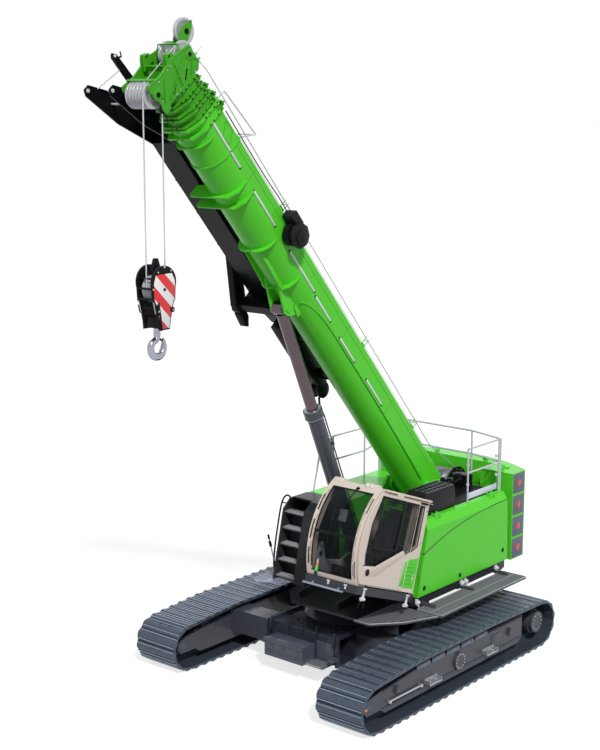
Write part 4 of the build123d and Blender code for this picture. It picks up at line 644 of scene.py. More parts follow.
# engine seen through the open cover: block details, fan and belts, oil filters
piece("engine_fittings", "upper", black_steel, bevel=0.006,
      boxes=[((-2.12 + 0.18 * n, 1.300, 2.02), (-2.00 + 0.18 * n, 1.318, 2.16)) for n in range(6)],
      rods=pins([(-2.06 + 0.18 * n, 1.02) for n in range(6)], 2, 2.28, 2.33, 0.05, 16)
      + pins([(-1.95 + 0.22 * n, 1.60) for n in range(3)], 1, 1.300, 1.345, 0.055, 24)
      + pins([(1.01, 1.85)], 0, -0.95, -0.90, 0.17, 32) + pins([(1.18, 2.10)], 0, -0.95, -0.90, 0.08, 24))

# ---------------------------------------------------------------- intake box
# Moulded black air intake with rounded edges on the housing; its top is a grille of cross bars.
low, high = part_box("intake_box")
intake_plastic = finish("black moulding", "black_steel", (0.014, 0.014, 0.016), 0.32, 0.0, 0.10, 0.04,
                        120, 0.02, 0.03)
grille_edge = finish("grille edge", "black_steel", (0.05, 0.052, 0.06), 0.3, 0.1, 0.15, 0.05, 120, 0.05)
piece("intake_hood", "upper", intake_plastic, bevel=0.035, replaced=("intake_box",), steps=4,
      slabs=[([(low.x, low.z + 0.0005), (high.x, low.z + 0.0005), (high.x - 0.03, high.z - 0.025),
               (low.x + 0.04, high.z - 0.025)], 1, low.y, high.y)])
top = high.z - 0.017
repeat("intake_cross_bars", [((low.x + 0.09 + n * 0.0975, (low.y + high.y) / 2, top), *ACROSS)
                             for n in range(9)],
       (0.36, 0.020, 0.026), "upper", intake_plastic)
repeat("intake_long_bars", [(((low.x + high.x) / 2, low.y + y, top), *ALONG)
                            for y in (0.035, 0.155, 0.275, 0.39)],
       (0.80, 0.022, 0.030), "upper", grille_edge)
piece("intake_panels", "upper", intake_plastic, bevel=0.004,
      boxes=[((low.x + 0.012, low.y - 0.006, low.z + 0.05), (high.x - 0.06, low.y, high.z - 0.08)),
             ((high.x - 0.016, low.y + 0.05, low.z + 0.06), (high.x - 0.008, high.y - 0.05, high.z - 0.10))])

# ---------------------------------------------------------------- handrails and toe board
# Light grey tube rails pinned to the deck, with a pale toe board along the cover's rear half.
rail_grey = finish("rail paint", "bare_steel", (0.52, 0.54, 0.58), 0.35, 0.2, 0.12, 0.06, 80, 0.04, 0.2)
pale_board = finish("pale board", "bare_steel", (0.62, 0.65, 0.78), 0.35, 0.1, 0.10, 0.05, 60, 0.03, 0.2)
finish_nodes(rail_grey, "handrails")
piece("toe_board", "upper", pale_board, bevel=0.002,
      boxes=[((-2.545, 1.332, 2.690), (-1.650, 1.340, 2.800))]
      + [((x, 1.300, 2.690), (x + 0.008, 1.338, 2.800)) for x in (-2.545, -1.658)])
clips = [(x, z) for x in (-1.64, -2.56) for z in (2.95, 3.30)]
piece("rail_clips", "upper", rail_grey, rods=[((x, 1.32, z - 0.02), (x, 1.32, z + 0.02), 0.027, 14)
                                              for x, z in clips]
      + [((x - 0.035, 1.32, z), (x + 0.035, 1.32, z), 0.009, 8) for x, z in clips])

# ---------------------------------------------------------------- counterweight
# Four green castings stacked on the rear carrier. Their sawn-off ends are blue-grey, each with
# a red disc in its round recess; tie rods and lifting eyes stand on top.
SLAB_FOOT, SLAB_PITCH, STACK_TOP, SLAB_BACK = 1.310, 0.4053, 2.9305, -3.72
HALF_WIDTH, BULGE = 1.5, 0.46
red_disc = finish("red disc", "green_paint", (0.62, 0.018, 0.012), 0.22, 0.0, 0.08, 0.03, 100, 0.02, 0.6)
grey_cast = finish("grey casting", "dark_paint", (0.125, 0.135, 0.185), 0.45, 0.0, 0.12, 0.06, 30, 0.06)
finish_nodes(finish("counterweight paint", "green_paint", GREEN, 0.36, 0.0, 0.08, 0.05, 30, 0.03, 0.1),
             "counterweight")
feet = [(SLAB_FOOT + number * SLAB_PITCH, side) for number in range(4) for side in (1, -1)]


def end_discs(*rows):
    """Discs on the slabs' ends, out from near to far, from rows of near, far, radius and sides."""
    return [row for near, far, radius, sides in rows for foot, side in feet
            for row in pins([(-3.05, foot + 0.2025)], 1, side * near, side * far, radius, sides)]


piece("slab_end_faces", "upper", grey_cast, bevel=0.0015, rods=end_discs((1.5030, 1.5065, 0.078, 40)),
      slabs=[([(-2.862, z + 0.045), (-2.862, z + 0.385), (-3.238, z + 0.385), (-3.238, z + 0.02),
               (-2.90, z + 0.02)],
              1, side * 1.4997, side * 1.5035) for z, side in feet])
back_radius = (HALF_WIDTH ** 2 + BULGE ** 2) / (2 * BULGE)
bend = math.asin(HALF_WIDTH / back_radius)
arc = [(SLAB_BACK + back_radius - (back_radius + 0.0012) * math.cos(a), (back_radius + 0.0012) * math.sin(a))
       for a in (bend * (n / 12 - 1) for n in range(25))]
piece("slab_seams", "upper", black_steel,
      rods=[row for number in range(1, 4)
            for row in chain([(*spot, SLAB_FOOT + number * SLAB_PITCH - 0.0002) for spot in arc], 0.0055, 6)])
piece("slab_discs", "upper", red_disc, bevel=0.002, rods=end_discs((1.5060, 1.5085, 0.064, 40),
                                                                   (1.5080, 1.5105, 0.018, 20)))
piece("slab_fittings", "upper", green, bevel=0.005,
      slabs=[([(-3.10, STACK_TOP), (-2.98, STACK_TOP), (-3.00, 3.02), (-3.08, 3.02)], 1, y - 0.02, y + 0.02)
             for y in (-1.15, 1.15)],
      boxes=[((-3.20, y - 0.06, STACK_TOP), (-3.13, y + 0.06, 2.955)) for y in (-1.15, 1.15)],
      rods=[((-3.04, y - 0.026, 2.985), (-3.04, y + 0.026, 2.985), 0.022, 14) for y in (-1.15, 1.15)]
      + pins([(-3.40, -0.55), (-3.40, 0.55)], 2, STACK_TOP, 2.99, 0.04, 20)
      + pins([(-3.40, -0.55), (-3.40, 0.55)], 2, 2.96, 2.985, 0.065, 6))

# ---------------------------------------------------------------- winches
# Two grooved drums between dark flanges, wound with bright wire rope and turned by motors that
# are bolted outside the main plates.


def wound_rope_tree():
    """Geometry nodes: a helix of rope along +Z, swept with a round section."""
    tree, given = group("Wound Rope", "GeometryNodeTree",
                        (("Turns", "Float", 10.0), ("Radius", "Float", 0.2), ("Length", "Float", 0.5),
                         ("Thickness", "Float", 0.011), ("Finish", "Material")), (("Rope", "Geometry"),))
    coil = node(tree, "GeometryNodeCurveSpiral", {"Resolution": 28, "Rotations": given["Turns"],
                                                  "Start Radius": given["Radius"],
                                                  "End Radius": given["Radius"],
                                                  "Height": given["Length"]})
    section = node(tree, "GeometryNodeCurvePrimitiveCircle", {"Resolution": 6, "Radius": given["Thickness"]})
    sweep = node(tree, "GeometryNodeCurveToMesh", {"Fill Caps": True, "Curve": coil.outputs[0],
                                                   "Profile Curve": section.outputs[0]})
    real = node(tree, "GeometryNodeRealizeInstances", {0: sweep.outputs[0]})
    paint = node(tree, "GeometryNodeSetMaterial", {"Geometry": real.outputs[0], "Material": given["Finish"]})
    node(tree, "NodeGroupOutput", {"Rope": paint.outputs[0]})
    return tree


WOUND_ROPE = wound_rope_tree()
rope_wire = finish("wire rope", "rope_steel", (0.17, 0.175, 0.19), 0.40, 0.6, 0.2, 0.05, 300, 0.1)
drum_paint = finish("winch paint", "black_steel", (0.010, 0.010, 0.012), 0.3, 0.1, 0.12, 0.05, 60, 0.02, 0.12)
for name, x, z in (("main_winch", -2.720, 2.590), ("second_winch", -2.950, 1.850)):
    finish_nodes(drum_paint, f"{name}_drum")
    coil = grown(f"{name}_rope", bpy.data.meshes.new(f"{name}_rope"), WOUND_ROPE,
                 {"Turns": 29.0, "Radius": 0.2415, "Length": 0.645, "Thickness": 0.0112, "Finish": rope_wire})
    coil.data.transform(Matrix.Translation((x, -0.3225, z)) @ Matrix.Rotation(-math.pi / 2, 4, "X"))
    settle(coil, name, rope_wire)
    repeat(f"{name}_flange_bolts", circle((x, -0.362, z), 0.27, 12, 1) + circle((x, 0.362, z), 0.27, 12, 1),
           (0.022, 0.022, 0.012), name, bare_steel, heads=6)
    piece(f"{name}_drives", "upper", drum_paint, bevel=0.006,
          rods=[((x, y0, z), (x, y1, z), radius, sides) for y0, y1, radius, sides in (
              (0.4605, 0.5105, 0.20, 36), (-0.4605, -0.5105, 0.20, 36), (-0.5105, -0.6305, 0.11, 24))],
          boxes=[((x - 0.06, -0.7105, z - 0.07), (x + 0.06, -0.6305, z + 0.07))])

# ---------------------------------------------------------------- walkways and their hinges
# Folding side walkway and front step: dark frames under open gratings, held to the sill by white
# cast clamps with pins.
finish_nodes(finish("walkway paint", "dark_paint", (0.075, 0.078, 0.090), 0.42, 0.1, 0.12, 0.10, 50, 0.02),
             "walkways")
grating = finish("walkway grating", "bare_steel", (0.330, 0.335, 0.370), 0.36, 0.4, 0.12, 0.08, 80, 0.02)
repeat("walkway_bars", [((-2.55 + 0.04 * n, 1.753, 1.171), *ACROSS) for n in range(66)],
       (0.475, 0.005, 0.012),
       "upper", grating)
repeat("walkway_cross_bars", [((-1.24, 1.53 + 0.05 * n, 1.172), *ALONG) for n in range(10)],
       (2.63, 0.004, 0.014),
       "upper", grating)
front_bars = []
for x in (0.13 + 0.04 * n for n in range(25)):
    wide = 1.95 - (x - 0.10) * 0.25 / 0.6 if x < 0.70 else 1.70 - (x - 0.70) * 0.40 / 0.45
    front_bars += [((x, 1.06 + 0.10 * m, 1.161), *ACROSS) for m in range(int((wide - 1.02) / 0.10))]
repeat("front_step_bars", front_bars, (0.085, 0.006, 0.012), "upper", grating)
rear, front, inner, outer = -2.564, 0.084, 1.505, 1.994
rims = [((rear, outer), (front, outer)), ((rear, inner), (rear, outer)), ((front, inner), (front, outer)),
        ((rear, inner), (front, inner)), ((rear, 1.765), (front, 1.765)), ((-1.24, inner), (-1.24, outer))]
curb = [(0.106, 1.944, 1.158), (0.70, 1.694, 1.158), (1.145, 1.298, 1.158), (1.145, 0.99, 1.158)]
piece("walkway_rims", "upper", grating, rods=chain(curb, 0.011, 8)
      + [((*start, 1.168), (*end, 1.168), 0.011, 8) for start, end in rims])
white_cast = finish("white castings", "bare_steel", (0.66, 0.67, 0.70), 0.32, 0.15, 0.12, 0.06, 80, 0.04, 0.3)
clamps = (-2.40, -1.42, -1.30, 0.035)
piece("walkway_clamps", "upper", white_cast, bevel=0.003,
      rods=[((x - half, 1.472, 1.262), (x + half, 1.472, 1.262), radius, sides) for x in clamps
            for half, radius, sides in ((0.035, 0.036, 22), (0.050, 0.015, 14))]
      + [((x, 1.478, 1.25), (x, 1.500, 1.19), 0.014, 12) for x in clamps],
      boxes=[((x - 0.022, 1.432, 1.235), (x + 0.022, 1.470, 1.325)) for x in clamps])

# ---------------------------------------------------------------- step tower
# Black moulded steps up the right front corner, with pale tread strips and a bent grab rail.
finish_nodes(finish("step tower paint", "black_steel", (0.030, 0.031, 0.034), 0.35, 0.0, 0.10,
                    0.05, 60, 0.02),
             "step_tower")
treads = [(0.400 - (z - 1.180) * 0.232, z) for z in (1.230 + number * 0.280 for number in range(5))]
piece("step_edges", "upper", grating, bevel=0.002,
      boxes=[((x - 0.030, -1.424, z - 0.006), (x + 0.004, -0.941, z + 0.004)) for x, z in treads])
repeat("step_bars", [((x - 0.045 - 0.030 * n, -1.1825, z + 0.006), *ACROSS) for x, z in treads
                     for n in range(5)],
       (0.470, 0.006, 0.012), "upper", rail_grey)
tube("step_grab_rail", [(0.36, -1.450, 1.30), (0.40, -1.458, 1.45), (0.20, -1.462, 2.35),
                        (0.10, -1.462, 2.60),
                        (-0.06, -1.460, 2.62), (-0.12, -1.450, 2.50)], 0.016, "upper", black_steel, sides=6)
piece("step_rail_stays", "upper", black_steel, bevel=0.002,
      rods=[((0.30, -1.462, 1.62), (0.30, -1.30, 1.62), 0.012, 10),
            ((0.12, -1.462, 2.50), (0.10, -1.40, 2.50), 0.012, 10)],
      boxes=[((-0.50, -1.4475, 1.45), (-0.16, -1.4445, 2.40)),
             ((-0.42, -1.453, 1.95), (-0.36, -1.4465, 2.05))])
piece("right_front_step", "upper", finish("step grating", "bare_steel", (0.27, 0.30, 0.42), 0.36,
                                          0.3, 0.12, 0.06, 80,
                                          0.03), bevel=0.004,
      slabs=[([(-0.24, -1.47), (-0.24, -1.74), (0.63, -1.74), (0.73, -1.56), (0.46, -1.12), (0.41, -1.12),
               (0.41, -1.47)], 2, 1.140, 1.158)],
      rods=[((0.36, y, 1.150), (0.30, y * 0.93, 1.210), 0.016, 10) for y in (-1.50, -1.20)])
repeat("right_front_step_bars", [((-0.21 + 0.04 * n, -1.605, 1.160), *ACROSS) for n in range(22)],
       (0.25, 0.008, 0.010), "upper", grating)
piece("load_gauge_mast", "upper", rail_grey, rods=[((0.02, -1.70, 1.150), (0.20, -1.72, 1.800), 0.012, 10)])
piece("load_gauge_head", "upper", black_steel, bevel=0.003,
      rods=[((0.155, -1.715, 1.640), (0.185, -1.718, 1.745), 0.026, 12),
            ((0.196, -1.720, 1.785), (0.220, -1.722, 1.870), 0.020, 12)])


# ---------------------------------------------------------------- cab
# Beige pressed-steel cab tipped back on its rear hinge, with tinted bonded glass in black seals,
# a sliding door, a dark base tray with white clamps and an inside that is dark, partly from real trim and
# partly from painted shade.


def tipped(degrees, x, z):
    """Frame of a piece that is turned up about y, with its origin at (x, 0, z)."""
    return Matrix.Translation((x, 0, z)) @ Matrix.Rotation(-math.radians(degrees), 4, "Y")


CAB = tipped(20, 0.100, 1.320)
beige = finish("cab paint", "beige_paint", (0.660, 0.575, 0.510), 0.32, 0.0, 0.04, 0.02, 60, 0.003, 0.05)
rubber = finish("seal rubber", "black_plastic", (0.010, 0.011, 0.013), 0.42, 0.0, 0.15, 0.05, 150, 0.06)
# near-black for the console, the door handle and the inside lining; on the lining it is partly real trim and
# partly painted shade
lining = finish("dark trim with painted shade", "black_plastic", (0.022, 0.023, 0.028), 0.55, 0.0, 0.08, 0.03, 400, 0.05)
pale_lining = finish("pale trim", "black_plastic", (0.33, 0.35, 0.42), 0.5, 0.0, 0.10, 0.04, 400, 0.12)
tray_paint = finish("cab tray paint", "dark_paint", (0.034, 0.037, 0.048), 0.3, 0.05, 0.15,
                    0.08, 50, 0.03, 0.25)
chrome = finish("chrome rod", "chrome_rod", (0.62, 0.62, 0.64), 0.10, 1.0, 0.05, 0.0, 200, 0.01)


def glazing(name, tint, alpha):
    """Tinted safety glass: a thin dark film over a mirror-smooth pane."""
    made = material(name, "glazing", {"Color": (*tint, 1), "Mottle": 0.1, "Dust": 0.06, "Roughness": 0.03,
                                      "Grain Scale": 6.0},
                    {"Alpha": alpha, "Roughness": 0.03, "IOR": 1.5, "Specular IOR Level": 0.12,
                     "Coat Weight": 0.0})
    made.surface_render_method = "BLENDED"
    return made


def light(name, color, bump=0.05, coat=0.6, roughness=0.15, grain=90):
    """Clean lamp glass or lit face."""
    return finish(name, "glazing", color, roughness, 0.0, 0.05, 0.0, grain, bump, coat)


for paint, names in ((beige, ("cab_shell", "cab_door")), (green, ("cab_louvres",)),
                     (lining, ("cab_console",)),
                     (glazing("cab glass", (0.003, 0.006, 0.009), 0.30), ("cab_glass",)),
                     (glazing("door glass", (0.003, 0.005, 0.008), 0.38), ("door_glass",)),
                     (tray_paint, ("cab_base",)), (dark_paint, ("tilt_barrel",)), (chrome, ("tilt_rod",))):
    finish_nodes(paint, *names)


def bow(z, inset=0.0):
    """How far forward the cab's bowed front stands at a height, in the cab's own frame."""
    centre_x, centre_z, radius = 0.5701, 0.7924, 1.3965
    return centre_x + math.sqrt(radius ** 2 - (z - centre_z) ** 2) - inset


def cross_seal(z0, z1, at0, at1, outer, inner):
    """Seal bar across the screen; at0 and at1 are the heights where the bow is taken."""
    return [(bow(at0, outer), z0), (bow(at1, outer), z1), (bow(at1, inner), z1),
            (bow(at0, inner), z0)], 1, 0.562, 1.398


edge = [(bow(z, 0.009), z) for z in (0.10 + 1.585 * n / 24 for n in range(25)) if 0.17 < z < 1.58]
piece("screen_seals", "cab", rubber, place=CAB, bevel=0.002,
      slabs=[cross_seal(0.78, 0.835, 0.78, 0.835, 0.008, 0.026),
             cross_seal(0.168, 0.190, 0.172, 0.19, 0.009, 0.03),
             cross_seal(1.555, 1.578, 1.555, 1.578, 0.009, 0.03)]
      + [(edge + [(x - 0.022, z) for x, z in edge[::-1]], 1, y, y + 0.014) for y in (0.5585, 1.3875)])

# the roof's front bar with its two work lamps, and the rail over the door's runner
bar = [(1.500, 1.688), (1.640, 1.688), (1.668, 1.640), (1.690, 1.578), (1.672, 1.572), (1.630, 1.655)]
hood = [(1.470, 1.688), (1.500, 1.735), (1.620, 1.730), (1.672, 1.660), (1.640, 1.640)]
piece("roof_front_bar", "cab", beige, place=CAB, bevel=0.012, steps=3,
      slabs=[(bar, 1, 0.475, 1.486), (hood, 1, 0.475, 0.66), (hood, 1, 1.13, 1.36)])
for name, start, end, radius, paint, bevel in (
        ("roof_lamps", (1.620, 1.700), (1.672, 1.690), 0.040, beige, 0.003),
        ("roof_lamp_lenses", (1.670, 1.690), (1.680, 1.688), 0.033,
         light("lamp lens", (0.85, 0.86, 0.88), 0.1, roughness=0.12, grain=60), 0.002)):
    piece(name, "cab", paint, place=CAB, bevel=bevel,
          rods=[((start[0], y, start[1]), (end[0], y, end[1]), radius, 24) for y in (1.195, 1.290)])
piece("roof_edge_rail", "cab", beige, place=CAB, bevel=0.008, steps=3,
      slabs=[([(0.215, 1.655), (1.585, 1.655), (1.600, 1.692), (0.215, 1.692)], 1, 1.486, 1.534)],
      boxes=[((x, 1.486, 1.56), (x + 0.05, 1.503, 1.66)) for x in (0.24, 1.50)]
      + [((1.08, 1.500, 1.585), (1.24, 1.5425, 1.675))])
piece("door_runner", "cab", rubber, place=CAB, boxes=[((0.262, 1.4905, 1.600), (1.500, 1.502, 1.654)),
                                                      ((0.300, 1.4905, 0.098), (1.560, 1.503, 0.120))])

# door: black window band, divider bars, round handle well, and panel seams
DOOR_FACE = 1.539
window = [(0.600, 0.800), (1.400, 0.320), (1.700, 0.300), (1.775, 0.600), (1.775, 1.100), (1.640, 1.560),
          (0.600, 1.560)]
border = [(0.578, 0.787), (1.394, 0.297), (1.716, 0.277), (1.797, 0.597), (1.797, 1.104), (1.655, 1.582),
          (0.578, 1.582)]
band = [([border[n - 1], border[n], window[n], window[n - 1]], 1, 1.528, DOOR_FACE + 0.0025)
        for n in range(len(window))]
piece("door_window_band", "cab_door", rubber, place=CAB, bevel=0.001,
      slabs=band + [([(1.005, 0.742), (1.772, 0.722), (1.772, 0.742), (1.005, 0.764)], 1, 1.5255,
                     DOOR_FACE - 0.004)],
      boxes=[((0.955, 1.5255, 0.62), (1.010, DOOR_FACE + 0.002, 1.562))])
rear_bands = ([(0.330, 0.900), (0.540, 0.760), (0.540, 0.735), (0.316, 0.885)],
              [(0.330, 0.900), (0.316, 0.885), (0.336, 1.575), (0.350, 1.560)],
              [(0.350, 1.560), (0.336, 1.575), (0.540, 1.575), (0.540, 1.560)])
piece("rear_window_band", "cab", rubber, place=CAB, bevel=0.001,
      slabs=[(outline, 1, 1.478, 1.4925) for outline in rear_bands])
for name, outline, face, paint, bevel in (
        ("door_lower_panel", [(0.700, 0.712), (1.394, 0.292), (1.716, 0.272), (1.797, 0.425), (1.470, 0.447),
                              (0.770, 0.790)], 1.5430, beige, 0.0015),
        ("door_glass_edge", [(0.770, 0.790), (1.470, 0.447), (1.797, 0.425), (1.800, 0.440), (1.474, 0.463),
                             (0.778, 0.804)], 1.5440, rubber, 0.0),
        ("door_louvre_panel", [(0.582, 0.195), (0.690, 0.195), (0.640, 0.615), (0.582, 0.628)], 1.5405, green,
         0.0008)):
    piece(name, "cab_door", paint, slabs=[(outline, 1, 1.5385, face)], place=CAB, bevel=bevel)
slots = []
for y0, y1, spans in ((0.500, 0.526, ((0.26, 0.52), (0.66, 0.98), (1.14, 1.42))),
                      (1.448, 1.466, ((0.20, 0.46), (1.24, 1.50)))):
    for z0, z1 in spans:
        rises = [z0 + (z1 - z0) * n / 6 for n in range(7)]
        slots.append(([(bow(z, -0.0025), z) for z in rises]
                      + [(bow(z, 0.004), z) for z in rises[::-1]], 1, y0, y1))
piece("pillar_slots", "cab", rubber, slabs=slots, place=CAB)
piece("louvre_panel", "cab", green, place=CAB, bevel=0.001,
      slabs=[([(0.200, 0.200), (0.536, 0.200), (0.536, 0.640), (0.200, 0.715)], 1, 1.4898, 1.4925)])
piece("door_handle_well", "cab_door", rubber,
      rods=pins([(1.640, 0.330)], 1, 1.536, 1.5445, 0.058, 36), place=CAB,
      bevel=0.002)
piece("door_handle", "cab_door", lining, boxes=[((1.600, 1.5440, 0.318), (1.680, 1.5475, 0.342))], place=CAB,
      bevel=0.004)
piece("door_seam", "cab_door", rubber, place=CAB,
      boxes=[((0.700, DOOR_FACE - 0.0005, 0.135), (0.703, DOOR_FACE + 0.0008, 0.600))])
piece("rear_panel_seams", "cab", rubber, place=CAB, rods=pins([(0.245, 1.50)], 1, 1.488, 1.494, 0.012, 16),
      slabs=[([(0.175, 0.985), (0.330, 0.905), (0.330, 0.909), (0.175, 0.989)], 1, 1.4895, 1.4912),
             ([(0.540, 0.13), (0.543, 0.13), (0.543, 0.76), (0.540, 0.76)], 1, 1.4895, 1.4912)])
piece("louvre_slots", "cab", rubber, place=CAB,
      slabs=[([(0.265, z - 0.002), (0.505, z - 0.014), (0.505, z - 0.006), (0.265, z + 0.006)],
              1, 1.4930, 1.4942)
             for z in (0.255 + 0.070 * number for number in range(5))],
      rods=pins([(0.41, 0.605), (0.515, 0.345)], 1, 1.492, 1.4965, 0.008, 12))
piece("louvre_latch", "cab", white_cast, place=CAB, bevel=0.002,
      boxes=[((0.262, 1.4930, 0.320), (0.284, 1.4985, 0.385))],
      rods=pins([(0.273, 0.405)], 1, 1.4930, 1.4980, 0.012, 14))

# wipers: twin arms from a pod under the roof bar, and one blade
wipers = [((1.700, 1.06, 1.610), (1.725, 1.06, 1.600), 0.030, 18)]
for base_y, tip_y, tip_z in ((1.075, 0.90, 0.86), (1.045, 0.86, 0.97)):
    wipers += chain([(bow(1.60, -0.030), base_y, 1.60),
                     (bow(1.30, -0.034), (base_y * 1.4 + tip_y * 0.6) / 2, 1.30),
                     (bow(tip_z, -0.030), tip_y, tip_z)], 0.0065, 8)
blade = [(bow(z, -0.014), 0.86 - (z - 0.97) * 0.05, z) for z in (0.62, 0.78, 0.94, 1.10, 1.26)]
piece("screen_wipers", "cab", rubber, rods=wipers + chain(blade, 0.0075, 8), place=CAB)

# base tray: white clamps, beads, and the light step grating along its front
front, corner = (0.95, 1.30), (1.590, 0.352)
piece("tray_clamps", "cab", white_cast, place=CAB, bevel=0.003,
      boxes=[((1.799, y - 0.016, 0.010), (1.812, y + 0.016, 0.075)) for y in front]
      + [((x - 0.024, 1.519, -0.010), (x + 0.024, 1.534, 0.082)) for x in corner],
      rods=[((1.812, y - 0.026, 0.060), (1.812, y + 0.026, 0.060), 0.016, 14) for y in front]
      + [((1.806, y, 0.0), (1.806, y, 0.020), 0.014, 12) for y in front]
      + [((x - half, y, z), (x + half, y, z), radius, sides) for x in corner for half, y, z, radius, sides in (
          (0.034, 1.532, 0.065, 0.019, 16), (0.040, 1.524, -0.100, 0.033, 20))]
      + pins([(x, 1.524) for x in corner], 2, -0.105, -0.010, 0.020, 16))
pale_grate = finish("pale grating", "bare_steel", (0.30, 0.33, 0.42), 0.35, 0.4, 0.2, 0.08, 90, 0.08)
repeat("cab_step_bars", [((1.845, 0.52 + 0.020 * n, -0.052), *ALONG) for n in range(38)],
       (0.085, 0.005, 0.018),
       "cab", pale_grate, place=CAB)
piece("cab_step_frame", "cab", pale_grate, place=CAB,
      boxes=[((x - 0.003, 0.500, -0.066), (x + 0.003, 1.275, -0.038)) for x in (1.802, 1.888)]
      + [((1.800, y, -0.066), (1.890, y + 0.006, -0.038)) for y in (0.500, 1.270)]
      + [((1.792, y, -0.060), (1.803, y + 0.04, -0.010)) for y in (0.62, 1.15)])

# indicator stack at the front right corner: cap, amber and green lights on a bracket
for name, z0, z1, radius, paint in (("base", 0.120, 0.165, 0.020, rubber),
                                    ("green", 0.165, 0.245, 0.023, light("green light", (0.02, 0.75, 0.05))),
                                    ("amber", 0.245, 0.300, 0.023, light("amber light", (0.85, 0.17, 0.01))),
                                    ("cap", 0.300, 0.370, 0.020, bare_steel)):
    piece(f"stack_{name}", "cab", paint, rods=pins([(1.850, 0.690)], 2, z0, z1, radius, 24),
          place=CAB, bevel=0.003,
          boxes=[((1.795, 0.680, 0.105), (1.865, 0.700, 0.122))] if name == "base" else ())
tube("cab_grab_handle", [(0.62, 1.545, 0.92), (0.62, 1.550, 1.0), (0.62, 1.550, 1.30), (0.62, 1.545, 1.38)],
     0.004,
     "cab_door", rubber, place=CAB)

# inside trim: floor mat, rear wall with its vent slots, right wall lining with a round speaker
roof = [(1.42, 1.636), (0.29, 1.636), (0.29, 1.628), (1.42, 1.628)]
# dark lining over the cab's inside faces: partly real trim, partly painted shade for the shaded inside
piece("cab_lining", "cab", lining, place=CAB, bevel=0.004,
      boxes=[((0.24, 0.53, 0.1455), (1.70, 1.43, 0.153)), ((0.28, 0.525, 1.560), (0.74, 1.435, 1.636)),
             ((0.262, 1.402, 0.40), (0.30, 1.436, 1.60))],
      slabs=[([(0.212, 0.16), (0.228, 0.16), (0.262, 0.845), (0.246, 0.845)], 1, 0.525, 1.435),
             (roof, 1, 0.525, 0.600), (roof, 1, 1.360, 1.435)])
piece("cab_pale_lining", "cab", pale_lining, place=CAB, bevel=0.004,
      slabs=[([(1.05, 0.160), (1.685, 0.160), (1.735, 0.340), (1.700, 0.620), (1.62, 0.640), (1.45, 0.38),
               (1.12, 0.36)], 1, 0.5205, 0.534)])
repeat("cab_vent_slots", [((0.275, 0.60 + 0.075 * n + 0.03 * row, 1.36 + 0.055 * row), (1, 0, 0), (0, 1, 0.3))
                          for row in range(4) for n in range(5)], (0.050, 0.018, 0.010), "cab",
       rubber, place=CAB)
arms = (0.665, 1.295)
piece("cab_controls", "cab", rubber, place=CAB, bevel=0.004,
      rods=pins([(1.620, 0.44)], 1, 0.533, 0.538, 0.042, 28)
      + pins([(1.620, 0.44)], 1, 0.537, 0.541, 0.014, 16)
      + pins([(0.74 + 0.06 * n, y) for y in arms for n in range(4)], 2, 0.751, 0.762, 0.011, 12)
      + [((1.40, 0.60, 0.55), (1.385, 0.62, 1.03), 0.012, 10)],
      boxes=[((0.70, y - 0.030, 0.7405), (0.98, y + 0.030, 0.752)) for y in arms]
      + [((1.36, 0.56, 1.02), (1.40, 0.74, 1.24))])
piece("cab_display", "cab", light("screen face", (0.30, 0.36, 0.42), 0.02, 0.5), place=CAB,
      boxes=[((1.400, 0.570, 1.030), (1.4025, 0.730, 1.230))])

# ---------------------------------------------------------------- seat
# Sprung operator's seat: a foam cushion, a waisted back and a head rest, covered in grey cloth
# with piped seams, on the console's stand.


def cloth_paint(tree):
    """Fine woven check in two greys."""
    place = node(tree, "ShaderNodeTexCoord").outputs["Object"]
    return node(tree, "ShaderNodeTexChecker", {"Scale": 260.0, "Color1": (0.060, 0.064, 0.078, 1),
                                               "Vector": place,
                                               "Color2": (0.040, 0.043, 0.054, 1)}).outputs["Color"]


seat_cloth = finish("seat cloth", "seat_cloth", (0.05, 0.053, 0.065), 0.85, 0.0, 0.10, 0.03, 700, 0.35,
                    paint=cloth_paint)


def stuffed(name, outline, axis, near, far, cap):
    """Foam pad in its cover: remeshed, blown up by cloth pressure as far as cap, then smoothed."""
    shape = bmesh.new()
    slab(shape, outline, axis, near, far)
    obj = from_shape(name, shape)
    soft = obj.modifiers.new("soft", "BEVEL")
    soft.width, soft.segments, soft.limit_method = 0.022, 4, "ANGLE"
    baked(obj)
    skin = obj.modifiers.new("skin", "REMESH")
    skin.mode, skin.voxel_size = "VOXEL", 0.008
    baked(obj)
    before = [v.co.copy() for v in obj.data.vertices]
    cloth, frames = obj.modifiers.new("cloth", "CLOTH"), 20
    cloth.settings.use_pressure = True
    cloth.settings.uniform_pressure_force = 4.0
    cloth.settings.effector_weights.gravity = 0.0
    cloth.settings.quality = 4
    cloth.point_cache.frame_start, cloth.point_cache.frame_end = 1, frames
    for number in range(1, frames + 1):
        scene.frame_set(number)
        bpy.context.view_layer.update()
    baked(obj)
    scene.frame_set(1)
    for vertex, start in zip(obj.data.vertices, before):
        moved = vertex.co - start
        if moved.length > cap:
            vertex.co = start + moved.normalized() * cap
    round_off = obj.modifiers.new("round", "SUBSURF")
    round_off.levels = round_off.render_levels = 1
    baked(obj)
    obj.data.transform(CAB)
    settle(obj, "cab", seat_cloth, ("seat",), smooth=60)


